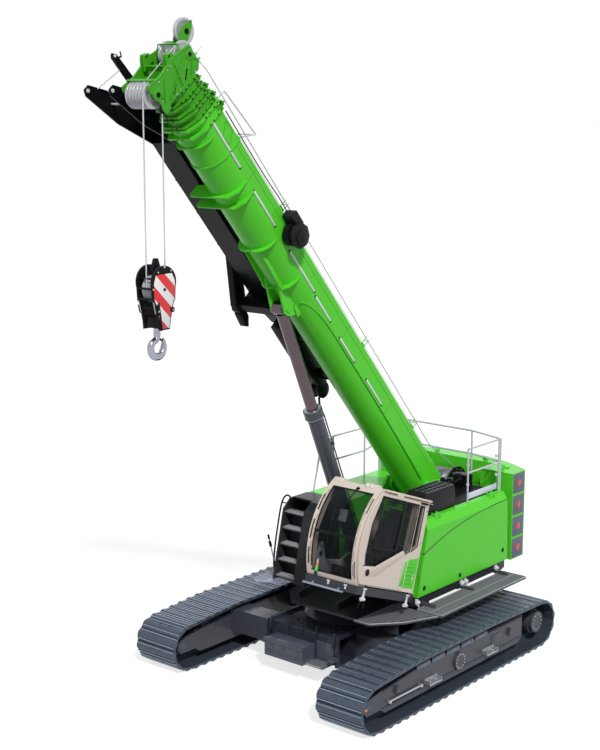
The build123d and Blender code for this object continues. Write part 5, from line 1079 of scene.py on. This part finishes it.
stuffed("seat_cushion", [(0.775, 0.628), (0.800, 0.636), (0.860, 0.612), (1.130, 0.612), (1.190, 0.636),
                         (1.215, 0.628), (1.215, 0.532), (0.775, 0.532)], 0, 0.610, 1.108, 0.008)
stuffed("seat_back", [(0.492, 0.652), (0.606, 0.652), (0.588, 0.800), (0.548, 1.000), (0.512, 1.218),
                      (0.412, 1.218)], 1, 0.782, 1.208, 0.008)
stuffed("seat_head_rest", [(0.412, 1.243), (0.488, 1.243), (0.472, 1.408), (0.410, 1.408)], 1,
        0.885, 1.105, 0.006)
piece("seat_piping", "cab", rubber, place=CAB,
      rods=[((x0, y, z0), (x1, y, z1), radius, 8) for x0, z0, x1, z1, radius, places in (
          (0.610, 0.66, 0.520, 1.205, 0.006, (0.790, 1.200)),
          (0.604, 0.70, 0.532, 1.12, 0.0045, (0.920, 1.070)),
          (0.448, 1.20, 0.446, 1.26, 0.006, (0.955, 1.035))) for y in places]
      + [((1.110, 0.80, 0.600), (1.110, 1.19, 0.600), 0.005, 8)])


# ---------------------------------------------------------------- boom
# Four nested tubes folded from high-strength plate: flat top, straight sides, round belly, and a
# bolted collar at each front end. Rubbing strips, a hatch and a cable reel sit on the left side.
BOOM = tipped(49, -1.780, 2.670)
BOOM_FRONT, STEP, COLLAR_PITCH = 8.780, 0.024, 0.170
BELLY_R, BELLY_W, LEFT_FACE = 0.3464, 0.1464, 0.3402
finish_nodes(green, "boom_base")
# the telescopic sections and the boom head take the green with painted shade, darker than the base section
finish_nodes(green_in_painted_shade, "boom_head", "boom_section_1", "boom_section_2", "boom_section_3")
strip_white = finish("pale strip", "bare_steel", (0.66, 0.68, 0.72), 0.35, 0.1, 0.12, 0.05, 90, 0.04, 0.2)
strips = ((7.712, 8.595, 0.182), (6.515, 7.245, 0.171), (5.059, 5.972, 0.157), (4.390, 4.973, 0.125),
          (3.406, 3.995, 0.108), (2.254, 2.921, 0.124))
piece("boom_strips", "boom_base", strip_white, place=BOOM, bevel=0.006,
      boxes=[((u0, LEFT_FACE, w - 0.018), (u1, 0.3560, w + 0.018)) for u0, u1, w in strips])
piece("boom_strip_ends", "boom_base", black_steel, place=BOOM, bevel=0.002,
      boxes=[((u - 0.02, LEFT_FACE, w - 0.022), (u + 0.02, 0.3500, w + 0.022))
             for *ends, w in strips for u in ends])
seam_green = finish("shadowed green", "green_paint", (0.035, 0.270, 0.016), 0.4, 0.0, 0.1,
                    0.05, 60, 0.05, 0.2)
hatch = [(u, LEFT_FACE, w) for u, w in ((8.11, 0.235), (8.30, 0.215), (8.43, 0.41),
                                        (8.24, 0.43), (8.11, 0.235))]
piece("boom_weld_seams", "boom_base", seam_green, place=BOOM,
      rods=[((0.25, side * y, z), (7.98, side * y, z), 0.0035, 6) for side in (1, -1)
            for y, z in ((LEFT_FACE, 0.340), (0.300, 0.4995))] + chain(hatch, 0.0045, 6)
      + [((u, LEFT_FACE, 0.090), (u, LEFT_FACE, 0.438), 0.003, 6) for u in (2.05, 3.95, 5.95, 7.45)])

# crescent stiffeners round the belly at the lift rod's ears and behind the front collar
crescents = []
for u, swell in ((5.500, 0.095), (6.330, 0.085), (8.420, 0.055)):
    for side in (1, -1):
        rims = [], []
        for n in range(15):
            angle = math.radians(-88 + 80 * n / 14)
            grow = max(swell * math.sin(math.pi * (0.12 + 0.88 * n / 14)), 0.004)
            for rim, far in zip(rims, (BELLY_R, BELLY_R + grow)):
                rim.append((side * far * math.cos(angle), BELLY_W + far * math.sin(angle)))
        crescents.append((rims[0] + rims[1][::-1], 0, u, u + 0.018))
piece("boom_crescents", "boom_base", green, place=BOOM, bevel=0.004, slabs=crescents
      + [([(u0, -0.16), (u1, -0.16), (u1 - 0.05, -0.16 - drop), (u0 + 0.02, -0.18 - drop * 1.5)], 1,
          side * 0.160, side * 0.175) for side in (1, -1)
         for u0, u1, drop in ((5.52, 6.34, 0.05), (4.86, 5.10, 0.06))])

# collar bolts and pin brackets, each on its own section
for number in range(4):
    body = f"boom_section_{number}" if number else "boom_base"
    front = BOOM_FRONT + 0.020 + (number - 1) * COLLAR_PITCH if number else BOOM_FRONT - 0.180
    half, top, belly = 0.340 - number * STEP, 0.500 - number * STEP, BELLY_R - number * STEP + 0.033
    bolts, boxes, bars = [], [], []
    for u in (front + 0.015, front + 0.135) if number else (front + 0.020, front + 0.160):
        for side in (1, -1):
            bolts += [((u, side * (half + 0.033), w), (0, side, 0), (1, 0, 0)) for w in (0.20, 0.33, 0.42)]
            for angle in (math.radians(-82 + 15 * n) for n in range(6)):
                y, z = side * math.cos(angle), math.sin(angle)
                bolts.append(((u, y * belly, BELLY_W + z * belly), (0, y, z), (1, 0, 0)))
        bolts += [((u, y, top + 0.033), *ALONG) for y in (-0.22, -0.11, 0.0, 0.11, 0.22)]
    repeat(f"{body}_collar_bolts", bolts, (0.024, 0.024, 0.012), body, black_steel, place=BOOM, heads=6)
    for side in (1, -1):
        for u0, u1, y0, y1, z0, z1 in ((0.035, 0.115, 0.0005, 0.0125, 0.375, 0.430),
                                       (0.030, 0.120, -0.045, 0.015, top - 0.002, top + 0.034)):
            near, far = sorted((side * (half + y0), side * (half + y1)))
            boxes.append(((front + u0, near, z0), (front + u1, far, z1)))
        bars += [((front + u, side * (half + y0), top + z0),
                  (front + u, side * (half + y1), top + z1), radius, sides)
                 for u, y0, z0, y1, z1, radius, sides in (
                     (0.052, -0.01, 0.030, -0.01, 0.075, 0.014, 12),
                     (0.100, 0.004, 0.010, 0.045, 0.010, 0.013, 12),
                     (0.070, 0.030, -0.055, 0.055, -0.055, 0.017, 12),
                     (0.070, -0.005, -0.055, 0.030, -0.055, 0.008, 8))]
    # collar brackets in the green with painted shade
    piece(f"{body}_collar_brackets", body, green_in_painted_shade, place=BOOM, bevel=0.003, boxes=boxes, rods=bars)

# cable reel and its drive on the left side
finish_nodes(black_steel, "hose_reel")
piece("reel_drive", "boom_base", intake_plastic, place=BOOM, bevel=0.010,
      rods=pins([(6.185, 0.310)], 1, 0.5405, 0.600, 0.205, 8)
      + pins([(6.160, 0.285)], 1, 0.5405, 0.660, 0.125, 8)
      + pins([(6.160, 0.285)], 1, 0.660, 0.672, 0.055, 24)
      + pins([(6.385, 0.440)], 1, 0.520, 0.545, 0.055, 20)
      + pins([(6.2 + 0.165 * math.cos(a), 0.32 + 0.165 * math.sin(a))
              for a in (math.tau * n / 8 for n in range(8))],
             1, 0.491, 0.4935, 0.012, 10), boxes=[((6.255, 0.345, 0.380), (6.520, 0.560, 0.520))])
tube("reel_cable", [(6.36, 0.42, 0.43), (6.60, 0.39, 0.50), (7.20, 0.375, 0.47), (8.00, 0.372, 0.470),
                    (8.56, 0.378, 0.470)], 0.009, "boom_base", black_steel, place=BOOM)
tube("boom_hydraulic_pipe_1", [(0.30, 0.352, 0.02), (1.50, 0.355, 0.055), (3.50, 0.353, 0.06),
                               (4.95, 0.340, 0.03),
                               (5.10, 0.24, -0.13)], 0.010, "boom_base", green, place=BOOM)

# ---------------------------------------------------------------- boom head and sheaves
# Two green cheeks carry cast sheaves: six below, two above and one runner on a forked bracket.
# A guard bar keeps the ropes in; ribs, pins and keepers are on the cheeks.
HEAD_U = BOOM_FRONT + 0.510
LOW_U, LOW_W = BOOM_FRONT + 0.775, -0.335
UP_U, UP_W = BOOM_FRONT + 0.790, 0.515
RUN_U, RUN_W = BOOM_FRONT + 0.930, 0.855
sheave_cast = finish("sheave casting", "sheave_grey", (0.50, 0.51, 0.54), 0.28, 0.25, 0.08,
                     0.03, 70, 0.02, 0.2)


def sheave_wheels(name, body, pin, places, bore, place=BOOM):
    """Cast sheaves turned round one pin: rounded rims, a deep groove, a dished web and a hub."""
    u, w = pin
    profile = [(bore + 0.0005, -0.024), (bore + 0.030, -0.024), (bore + 0.038, -0.012), (0.135, -0.009),
               (0.150, -0.020), (0.163, -0.024), (0.186, -0.024), (0.1945, -0.0205), (0.1945, -0.0165),
               (0.188, -0.0125), (0.177, -0.0095), (0.173, -0.005), (0.1725, 0.0)]
    profile += [(r, -y) for r, y in profile[-2::-1]]
    shape, sides = bmesh.new(), 56
    for y in places:
        rings = [[shape.verts.new((u + r * math.cos(math.tau * n / sides), y + d, w
                                   + r * math.sin(math.tau * n / sides)))
                  for n in range(sides)] for r, d in profile]
        for ring, after in zip(rings, rings[1:] + rings[:1]):
            for n in range(sides):
                m = (n + 1) % sides
                shape.faces.new((ring[n], ring[m], after[m], after[n]))
    piece(name, body, sheave_cast, shape=shape, place=place, replaced=(body,), smooth=40)


sheave_wheels("head_lower_sheaves", "lower_sheaves", (LOW_U, LOW_W),
              [0.066 * n - 0.165 for n in range(6)], 0.050)
sheave_wheels("head_upper_sheaves", "upper_sheaves", (UP_U, UP_W), (-0.14, 0.14), 0.045)
sheave_wheels("head_runner_sheave", "runner_sheave", (RUN_U, RUN_W), (0.0,), 0.035)
rim = [(HEAD_U + 0.02, 0.50), (HEAD_U + 0.08, 0.585), (UP_U + 0.09, 0.590), (UP_U + 0.165, 0.26),
       (UP_U + 0.135, -0.15), (LOW_U + 0.19, LOW_W - 0.05), (LOW_U + 0.135, LOW_W - 0.075)]
ribs = ((HEAD_U + 0.05, -0.20, UP_U + 0.05, 0.42), (HEAD_U + 0.05, 0.12, UP_U + 0.10, 0.20),
        (HEAD_U + 0.05, 0.36, HEAD_U + 0.22, 0.56), (HEAD_U + 0.10, -0.30, LOW_U + 0.06, -0.10))
bars = [((UP_U + 0.202, -0.20, UP_W - 0.02), (UP_U + 0.202, 0.20, UP_W - 0.02), 0.012, 12)]
plates, slots, caps, bolts = [], [], [], []
for side in (1, -1):
    face, out = side * 0.270, side * 0.288
    bars += chain([(u, face, w) for u, w in rim], 0.011, 8)
    bars += [((LOW_U + 0.10, side * 0.26, LOW_W + 0.078),
              (LOW_U + 0.202, side * 0.26, LOW_W + 0.078), 0.012, 10),
             ((UP_U + 0.10, side * 0.24, UP_W - 0.12), (UP_U + 0.202, side * 0.20, UP_W - 0.02), 0.010, 8)]
    for u in (HEAD_U + 0.10, HEAD_U + 0.19):
        bars += [((u, side * 0.262, 0.56), (u, side * 0.262, 0.66), 0.011, 10),
                 ((u, side * 0.20, 0.64), (u, side * 0.27, 0.64), 0.009, 8)]
    for u0, w0, u1, w1 in ribs:
        length = math.dist((u0, w0), (u1, w1))
        du, dw = (w1 - w0) / length * 0.008, (u0 - u1) / length * 0.008
        plates.append(([(u0 + du, w0 + dw), (u1 + du, w1 + dw), (u1 - du, w1 - dw), (u0 - du, w0 - dw)], 1,
                       face, out))
    slots += [([(HEAD_U + u, w) for u, w in outline], 1, face, face + side * 0.002) for outline in (
        ((0.045, 0.215), (0.075, 0.215), (0.175, 0.345), (0.145, 0.350)),
        ((0.055, -0.08), (0.095, -0.10), (0.165, 0.02), (0.135, 0.05)))]
    for u, w, radius in ((LOW_U, LOW_W, 0.060), (UP_U, UP_W, 0.055)):
        bars += pins([(u, w)], 1, face, side * 0.2785, radius + 0.03, 32)
        caps += pins([(u, w)], 1, side * 0.285, side * 0.2885, radius - 0.022, 20)
        plates.append(([(u - 0.12, w + 0.05), (u - 0.05, w + 0.09), (u - 0.03, w + 0.06),
                        (u - 0.10, w + 0.02)], 1,
                       face, side * 0.2865))
    bolts += pins([(HEAD_U + 0.03, 0.05), (HEAD_U + 0.03, -0.05), (HEAD_U + 0.03, 0.44), (UP_U + 0.12, 0.02),
                   (UP_U + 0.13, 0.10), (LOW_U + 0.12, LOW_W + 0.13), (LOW_U - 0.12, LOW_W + 0.01)], 1,
                  side * 0.2705, side * 0.282, 0.013, 6)
# the head's ribs, pins and keepers in the green with painted shade, like the cheeks
piece("head_ribs", "boom_section_3", green_in_painted_shade, place=BOOM, bevel=0.003, rods=bars, slabs=plates,
      boxes=[((LOW_U + 0.196, -0.268, LOW_W + 0.055), (LOW_U + 0.208, 0.268, LOW_W + 0.100)),
             ((HEAD_U + 0.045, -0.235, 0.470), (HEAD_U + 0.24, 0.235, 0.478))])
piece("head_slots", "boom_section_3", black_steel, place=BOOM, rods=caps, slabs=slots,
      boxes=[((HEAD_U + 0.065, y - 0.03, 0.4785), (HEAD_U + 0.22, y + 0.03, 0.4805))
             for y in (-0.15, -0.05, 0.05, 0.15)])
piece("head_bolts", "boom_section_3", bare_steel, place=BOOM, rods=bolts)
piece("runner_pins", "boom_section_3", black_steel, place=BOOM, bevel=0.002,
      rods=[row for side in (1, -1) for row in pins([(RUN_U, RUN_W)], 1, side * 0.060, side * 0.074, 0.045, 6)
            + pins([(RUN_U + 0.05, RUN_W + 0.15), (RUN_U - 0.06, RUN_W - 0.16)], 1, side * 0.061,
                   side * 0.072, 0.010, 10)])
piece("head_pegs", "boom_section_3", strip_white, place=BOOM,
      rods=[((RUN_U + 0.02, 0.0, 0.995), (RUN_U + 0.02, 0.0, 1.05), 0.008, 8)]
      + [((HEAD_U + 0.20, y, 0.600), (HEAD_U + 0.20, y, top), 0.007, 8)
         for y, top in ((0.262, 0.780), (-0.262, 0.760))])

# ---------------------------------------------------------------- folded jib
# Black box-section jib carried along the boom's right side, with a forked foot and a hook-on
# post; light pins close its lugs.
JIB_RIGHT, JIB_LEFT = -0.9605, -0.4995
jib_paint = finish("jib paint", "black_steel", (0.005, 0.005, 0.007), 0.34, 0.05, 0.12, 0.05, 40, 0.01, 0.02)
finish_nodes(jib_paint, "jib", "jib_bracket")
foot = [(9.740, -0.455)]
piece("jib_pins", "boom_base", strip_white, place=BOOM, bevel=0.002,
      rods=[row for near, far in ((-0.975, -0.920), (-0.455, -0.405)) for row in
            pins(foot, 1, near, far, 0.0295, 18) + pins(foot, 1, near - 0.004, near + 0.012, 0.044, 18)]
      + pins([(9.960, 0.030)], 1, -0.665, -0.580, 0.0215, 14)
      + pins([(9.30, -0.235), (8.85, 0.02)], 1, -0.965, -0.415, 0.016, 12)
      + pins([(4.98, -0.24), (5.55, 0.03), (5.80, 0.20)], 1, -1.138, -1.128, 0.022, 6))
piece("jib_seams", "boom_base", dark_paint, place=BOOM,
      boxes=[((4.93, -0.90, -0.178), (5.03, -0.62, -0.150))],
      rods=[((u, y, 0.03), (u, y, 0.22 + (u - 4.60) * 0.04), 0.004, 6) for u in (5.30, 6.00, 6.70, 7.40, 8.10)
            for y in (JIB_RIGHT, JIB_LEFT)]
      + [((4.6, y, z), (8.28, y, z * 1.3), 0.004, 6) for z in (0.06, 0.19) for y in (JIB_RIGHT, JIB_LEFT)])
piece("jib_tip_lugs", "boom_base", jib_paint, place=BOOM, bevel=0.002,
      rods=[((u0, -0.62, w0), (u1, -0.62, w1), radius, 10) for u0, w0, u1, w1, radius in (
          (8.70, 0.295, 8.72, 0.43, 0.013), (9.10, 0.18, 9.12, 0.31, 0.013), (9.45, 0.01, 9.47, 0.14, 0.013),
          (9.90, 0.05, 9.86, 0.14, 0.014), (9.86, 0.14, 9.93, 0.17, 0.010))])
sheath = ([(4.860, -0.335), (4.985, -0.365), (5.905, 0.215), (5.800, 0.330), (5.700, 0.330), (4.880, -0.150)],
          [(4.580, -0.350), (4.640, -0.400), (4.900, -0.360), (4.900, -0.200), (4.720, -0.230)])
piece("jib_post_sheath", "boom_base", jib_paint, place=BOOM, bevel=0.012,
      slabs=[(outline, 1, -1.140, -1.000) for outline in sheath])
hub = [(2.720, -0.080)]
piece("jib_heel", "boom_base", jib_paint, place=BOOM, bevel=0.006,
      slabs=[([(2.780, 0.060), (2.800, -0.120), (3.150, -0.165), (4.380, -0.150), (4.380, 0.130),
               (3.100, 0.150)], 1,
              -0.780, -0.540)],
      boxes=[((u, -0.560, -0.02), (u + 0.15, -0.342, 0.10)) for u in (2.95, 3.90)],
      rods=pins(hub, 1, -0.760, -0.720, 0.150, 32) + pins(hub, 1, -0.600, -0.560, 0.150, 32)
      + pins(hub, 1, -0.720, -0.600, 0.110, 28) + [((2.62, -0.66, -0.18), (2.50, -0.66, -0.26), 0.020, 12)])
piece("jib_tip_stay", "boom_base", strip_white, place=BOOM,
      rods=[((9.740, -0.620, -0.010), (9.640, -0.930, -0.300), 0.008, 8)])

# ---------------------------------------------------------------- lift cylinder
# Telescoping rod of dark reflective chrome in a grey barrel with a turned gland and two pipes.
FOOT, EYE = (-0.200, 1.750), (1.8374, 6.336)
CYLINDER = tipped(math.degrees(math.atan2(EYE[1] - FOOT[1], EYE[0] - FOOT[0])), *FOOT)
dark_chrome = finish("dark chrome", "chrome_rod", (0.115, 0.088, 0.098), 0.14, 1.0, 0.06, 0.0, 200, 0.004)
barrel_grey = finish("barrel paint", "dark_paint", (0.060, 0.066, 0.084), 0.26, 0.1, 0.08,
                     0.04, 50, 0.01, 0.25)
gland_steel = finish("gland steel", "bare_steel", (0.30, 0.33, 0.38), 0.25, 0.8, 0.1, 0.05, 80, 0.03)
finish_nodes(dark_chrome, "lift_rod")
finish_nodes(barrel_grey, "lift_barrel")
piece("cylinder_gland", "lift_barrel", gland_steel, place=CYLINDER, bevel=0.003,
      rods=pins([(0, 0)], 0, 3.0805, 3.092, 0.150, 48) + pins([(0, 0)], 0, 2.93, 2.945, 0.169, 48))
piece("cylinder_pipes", "lift_barrel", barrel_grey, place=CYLINDER, bevel=0.002,
      rods=[((x0, y, 0.150), (x1, y, z1), radius, 12) for y in (0.075, -0.075) for x0, x1, z1, radius in (
          (0.45, 2.86, 0.150, 0.013), (2.86, 2.95, 0.130, 0.018), (0.45, 0.36, 0.110, 0.018))],
      boxes=[((x - 0.02, -0.105, 0.118), (x + 0.02, 0.105, 0.168)) for x in (0.80, 1.55, 2.30)])
piece("rod_eye_faces", "lift_rod", bare_steel, place=CYLINDER,
      rods=[row for y in (-0.1055, 0.1055)
            for row in pins([(5.018, 0)], 1, y - 0.0005, y + 0.0005, 0.085, 30)])
tube("lift_hose_left", [(-0.48, 0.19, 1.62), (-0.52, 0.20, 1.95), (-0.36, 0.19, 2.12), (-0.18, 0.15, 2.06),
                        (-0.06, 0.08, 2.10)], 0.016, "upper", black_steel)

# ---------------------------------------------------------------- hook block
# Two pear-shaped black cheeks round three sheaves. Each cheek's face carries a red and white
# hazard plate; guard rods, bolts and a pointed lug hold the ropes in.
BLOCK_X, BLOCK_PIN = 4.7415, 6.950


def hazard(tree):
    """Red and white bands that run down towards one side."""
    place = position(tree)
    slant = maths(tree, "SUBTRACT", place["Z"], maths(tree, "MULTIPLY", place["X"], 0.98))
    phase = maths(tree, "FRACT", maths(tree, "ADD", maths(tree, "MULTIPLY", slant, 2.75), 0.03))
    return two_tone(tree, maths(tree, "GREATER_THAN", phase, 0.5), (0.82, 0.82, 0.83), (0.72, 0.020, 0.022))


def on_block(*spots):
    """Places (x, z) counted from the block's pin."""
    return [(BLOCK_X + x, BLOCK_PIN + z) for x, z in spots]


finish_nodes(black_steel, "hook_block")
hazard_paint = finish("hazard stripes", "black_steel", (0.8, 0.8, 0.8), 0.24, 0.0, 0.06, 0.03, 120, 0.01, 0.5,
                      paint=hazard)
outline = on_block((-0.150, 0.225), (0.165, 0.215), (0.203, 0.105), (0.208, 0.010), (0.197, -0.135),
                   (0.150, -0.235),
                   (0.080, -0.560), (-0.082, -0.560), (-0.150, -0.235), (-0.197, -0.135), (-0.212, 0.010),
                   (-0.207, 0.120))
guard = on_block((0.115, -0.170), (0.190, -0.235), (0.165, -0.340), (0.115, -0.365), (0.095, -0.590),
                 (0.055, -0.578),
                 (0.082, -0.360))
bars = (pins(on_block((0.20928, 0.020), (-0.20928, 0.020)), 1, 0.02, 0.31, 0.016, 12)
        + pins(on_block((0.182, 0.16), (-0.182, 0.16), (0.150, -0.26), (-0.150, -0.26)), 1, 0.02,
               0.31, 0.014, 12))
bolts = pins(on_block((0.218, 0.020), (-0.218, 0.020)), 1, 0.330, 0.345, 0.013, 6)
for x in (0.205, -0.205):
    bolts += [((BLOCK_X + x, y, BLOCK_PIN - 0.15), (BLOCK_X + x * 0.78, y, BLOCK_PIN - 0.33), 0.008, 8)
              for y in (0.015, 0.315)]
plates, guards = [], []
for side, face in ((1, 0.335), (-1, -0.005)):
    out = face + side * 0.004
    plates.append((outline, 1, face, out))
    guards.append((guard, 1, out, out + side * 0.010))
    bars += pins(on_block((0, 0)), 1, out, out + side * 0.006, 0.024, 20)
    bars += pins(on_block((-0.150, -0.300)), 1, out, out + side * 0.010, 0.040, 18)
    bolts += pins(on_block((0.0, 0.320)), 1, face, face + side * 0.012, 0.018, 6)
    bolts += pins(on_block((0.125, 0.255), (-0.130, 0.262)), 1, face, face + side * 0.012, 0.014, 6)
    bolts += pins(on_block((0.130, -0.300), (-0.150, -0.300)), 1, out, out + side * 0.018, 0.015, 6)
piece("block_hazard_plates", "hook_block", hazard_paint, bevel=0.001, slabs=plates)
piece("block_guards", "hook_block", black_steel, bevel=0.003, rods=bars, slabs=guards,
      boxes=[((BLOCK_X + 0.088, 0.06, BLOCK_PIN - 0.53), (BLOCK_X + 0.093, 0.27, BLOCK_PIN - 0.40))])
piece("block_bolts", "hook_block", bare_steel, rods=bolts)
sheave_wheels("block_sheave_wheels", "block_sheaves", (BLOCK_X, BLOCK_PIN), (0.099, 0.165, 0.231),
              0.045, place=None)

# ---------------------------------------------------------------- hook
# Forged bright steel hook, with a sprung latch across its mouth.
finish_nodes(finish("forged hook", "bare_steel", (0.36, 0.37, 0.42), 0.18, 0.95, 0.30, 0.04, 30, 0.02),
             "hook")
piece("hook_latch", "hook", black_steel, bevel=0.003,
      rods=pins([(BLOCK_X - 0.024, 6.238)], 1, 0.135, 0.195, 0.010, 12),
      slabs=[([(BLOCK_X - 0.028, 6.245), (BLOCK_X - 0.010, 6.225), (BLOCK_X - 0.106, 6.170),
               (BLOCK_X - 0.118, 6.190)],
              1, 0.150, 0.180)])

# ---------------------------------------------------------------- hoist rope
# Bright wire rope: from the main drum through guides along the boom, over the head and down to
# the block in two falls, one of which ends in a wedge socket.
ROPE_Y, ROPE_W, ROPE_R = 0.355, 0.575, 0.0088


def lay(tree):
    """Strands twisted round the rope, light and dark."""
    place = node(tree, "ShaderNodeTexCoord").outputs["Object"]
    twist = node(tree, "ShaderNodeTexWave",
                 {"Scale": 18.0, "Distortion": 1.5, "Detail": 1.0, "Vector": place},
                 wave_type="BANDS", bands_direction="DIAGONAL")
    return two_tone(tree, twist.outputs["Fac"], (0.42, 0.43, 0.46), (0.72, 0.73, 0.76))


laid_rope = finish("laid rope", "rope_steel", (0.5, 0.5, 0.5), 0.4, 0.5, 0.15, 0.03, 400, 0.2, paint=lay)
finish_nodes(black_steel, "rope_socket")
for name, node_name in (("front_rope_fall", "front_fall"), ("rear_rope_fall", "rear_fall")):
    low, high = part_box(node_name)
    x, y = (low.x + high.x) / 2, (low.y + high.y) / 2
    fall = piece(name, None, laid_rope, rods=[((x, y, low.z), (x, y, high.z), 0.011, 12)],
                 replaced=(node_name,),
                 smooth=50)
    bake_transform(fall)
for number, (body, start, end) in enumerate((("boom_base", 0.60, 8.60), ("boom_section_1", 0.62, 8.60),
                                             ("boom_section_2", 0.62, 8.60), ("boom_section_3", 0.62, 9.02))):
    piece(f"boom_rope_{number}", body, laid_rope, place=BOOM,
          rods=[((start, ROPE_Y, ROPE_W), (end, ROPE_Y, ROPE_W), ROPE_R - 0.0003 * number, 10)])
lead = [(9.02, ROPE_Y, ROPE_W), (9.20, 0.300, 0.620), (9.46, 0.150, 0.668)]
over = [(UP_U + 0.183 * math.sin(a), 0.14, UP_W + 0.183 * math.cos(a))
        for a in (math.radians(-34 + 13.8 * n) for n in range(10))]
tube("head_rope", lead + over + [(LOW_U + 0.186, 0.099, LOW_W + 0.02)], ROPE_R, "boom_section_3",
     laid_rope, place=BOOM,
     smooth_path=False)
foot, drum_top = BOOM @ Vector((0.60, ROPE_Y, ROPE_W)), Vector((-2.820, 0.30, 2.822))
lead_rope = piece("winch_rope", None, laid_rope, rods=[(drum_top, foot, ROPE_R, 10)], smooth=50)
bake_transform(lead_rope)
guides, rollers = [], []
for u in (1.247, 3.437, 6.601):
    guides += [((u + shift, 0.330, 0.455), (u + shift, ROPE_Y, 0.610), 0.008, 8) for shift in (-0.045, 0.045)]
    guides.append(((u - 0.055, 0.336, 0.47), (u + 0.055, 0.336, 0.47), 0.012, 8))
    rollers += [((u - 0.06, ROPE_Y - 0.03, 0.600), (u + 0.06, ROPE_Y - 0.03, 0.600), 0.009, 10),
                ((u, ROPE_Y - 0.06, 0.556), (u, ROPE_Y + 0.05, 0.556), 0.0085, 12)]
piece("rope_guides", "boom_base", green, place=BOOM, rods=guides)
piece("rope_guide_rollers", "boom_base", strip_white, place=BOOM, rods=rollers)
strut = [((7.813, 0.30, 0.795), (7.813, -0.30, 0.795), 0.011, 10)]
for y in (0.30, -0.30):
    strut += chain([(8.755, y, 0.520), (8.740, y, 0.700), (7.813, y, 0.795), (8.020, y, 0.500)], 0.011, 10)
piece("rope_strut", "boom_base", strip_white, place=BOOM, rods=strut)
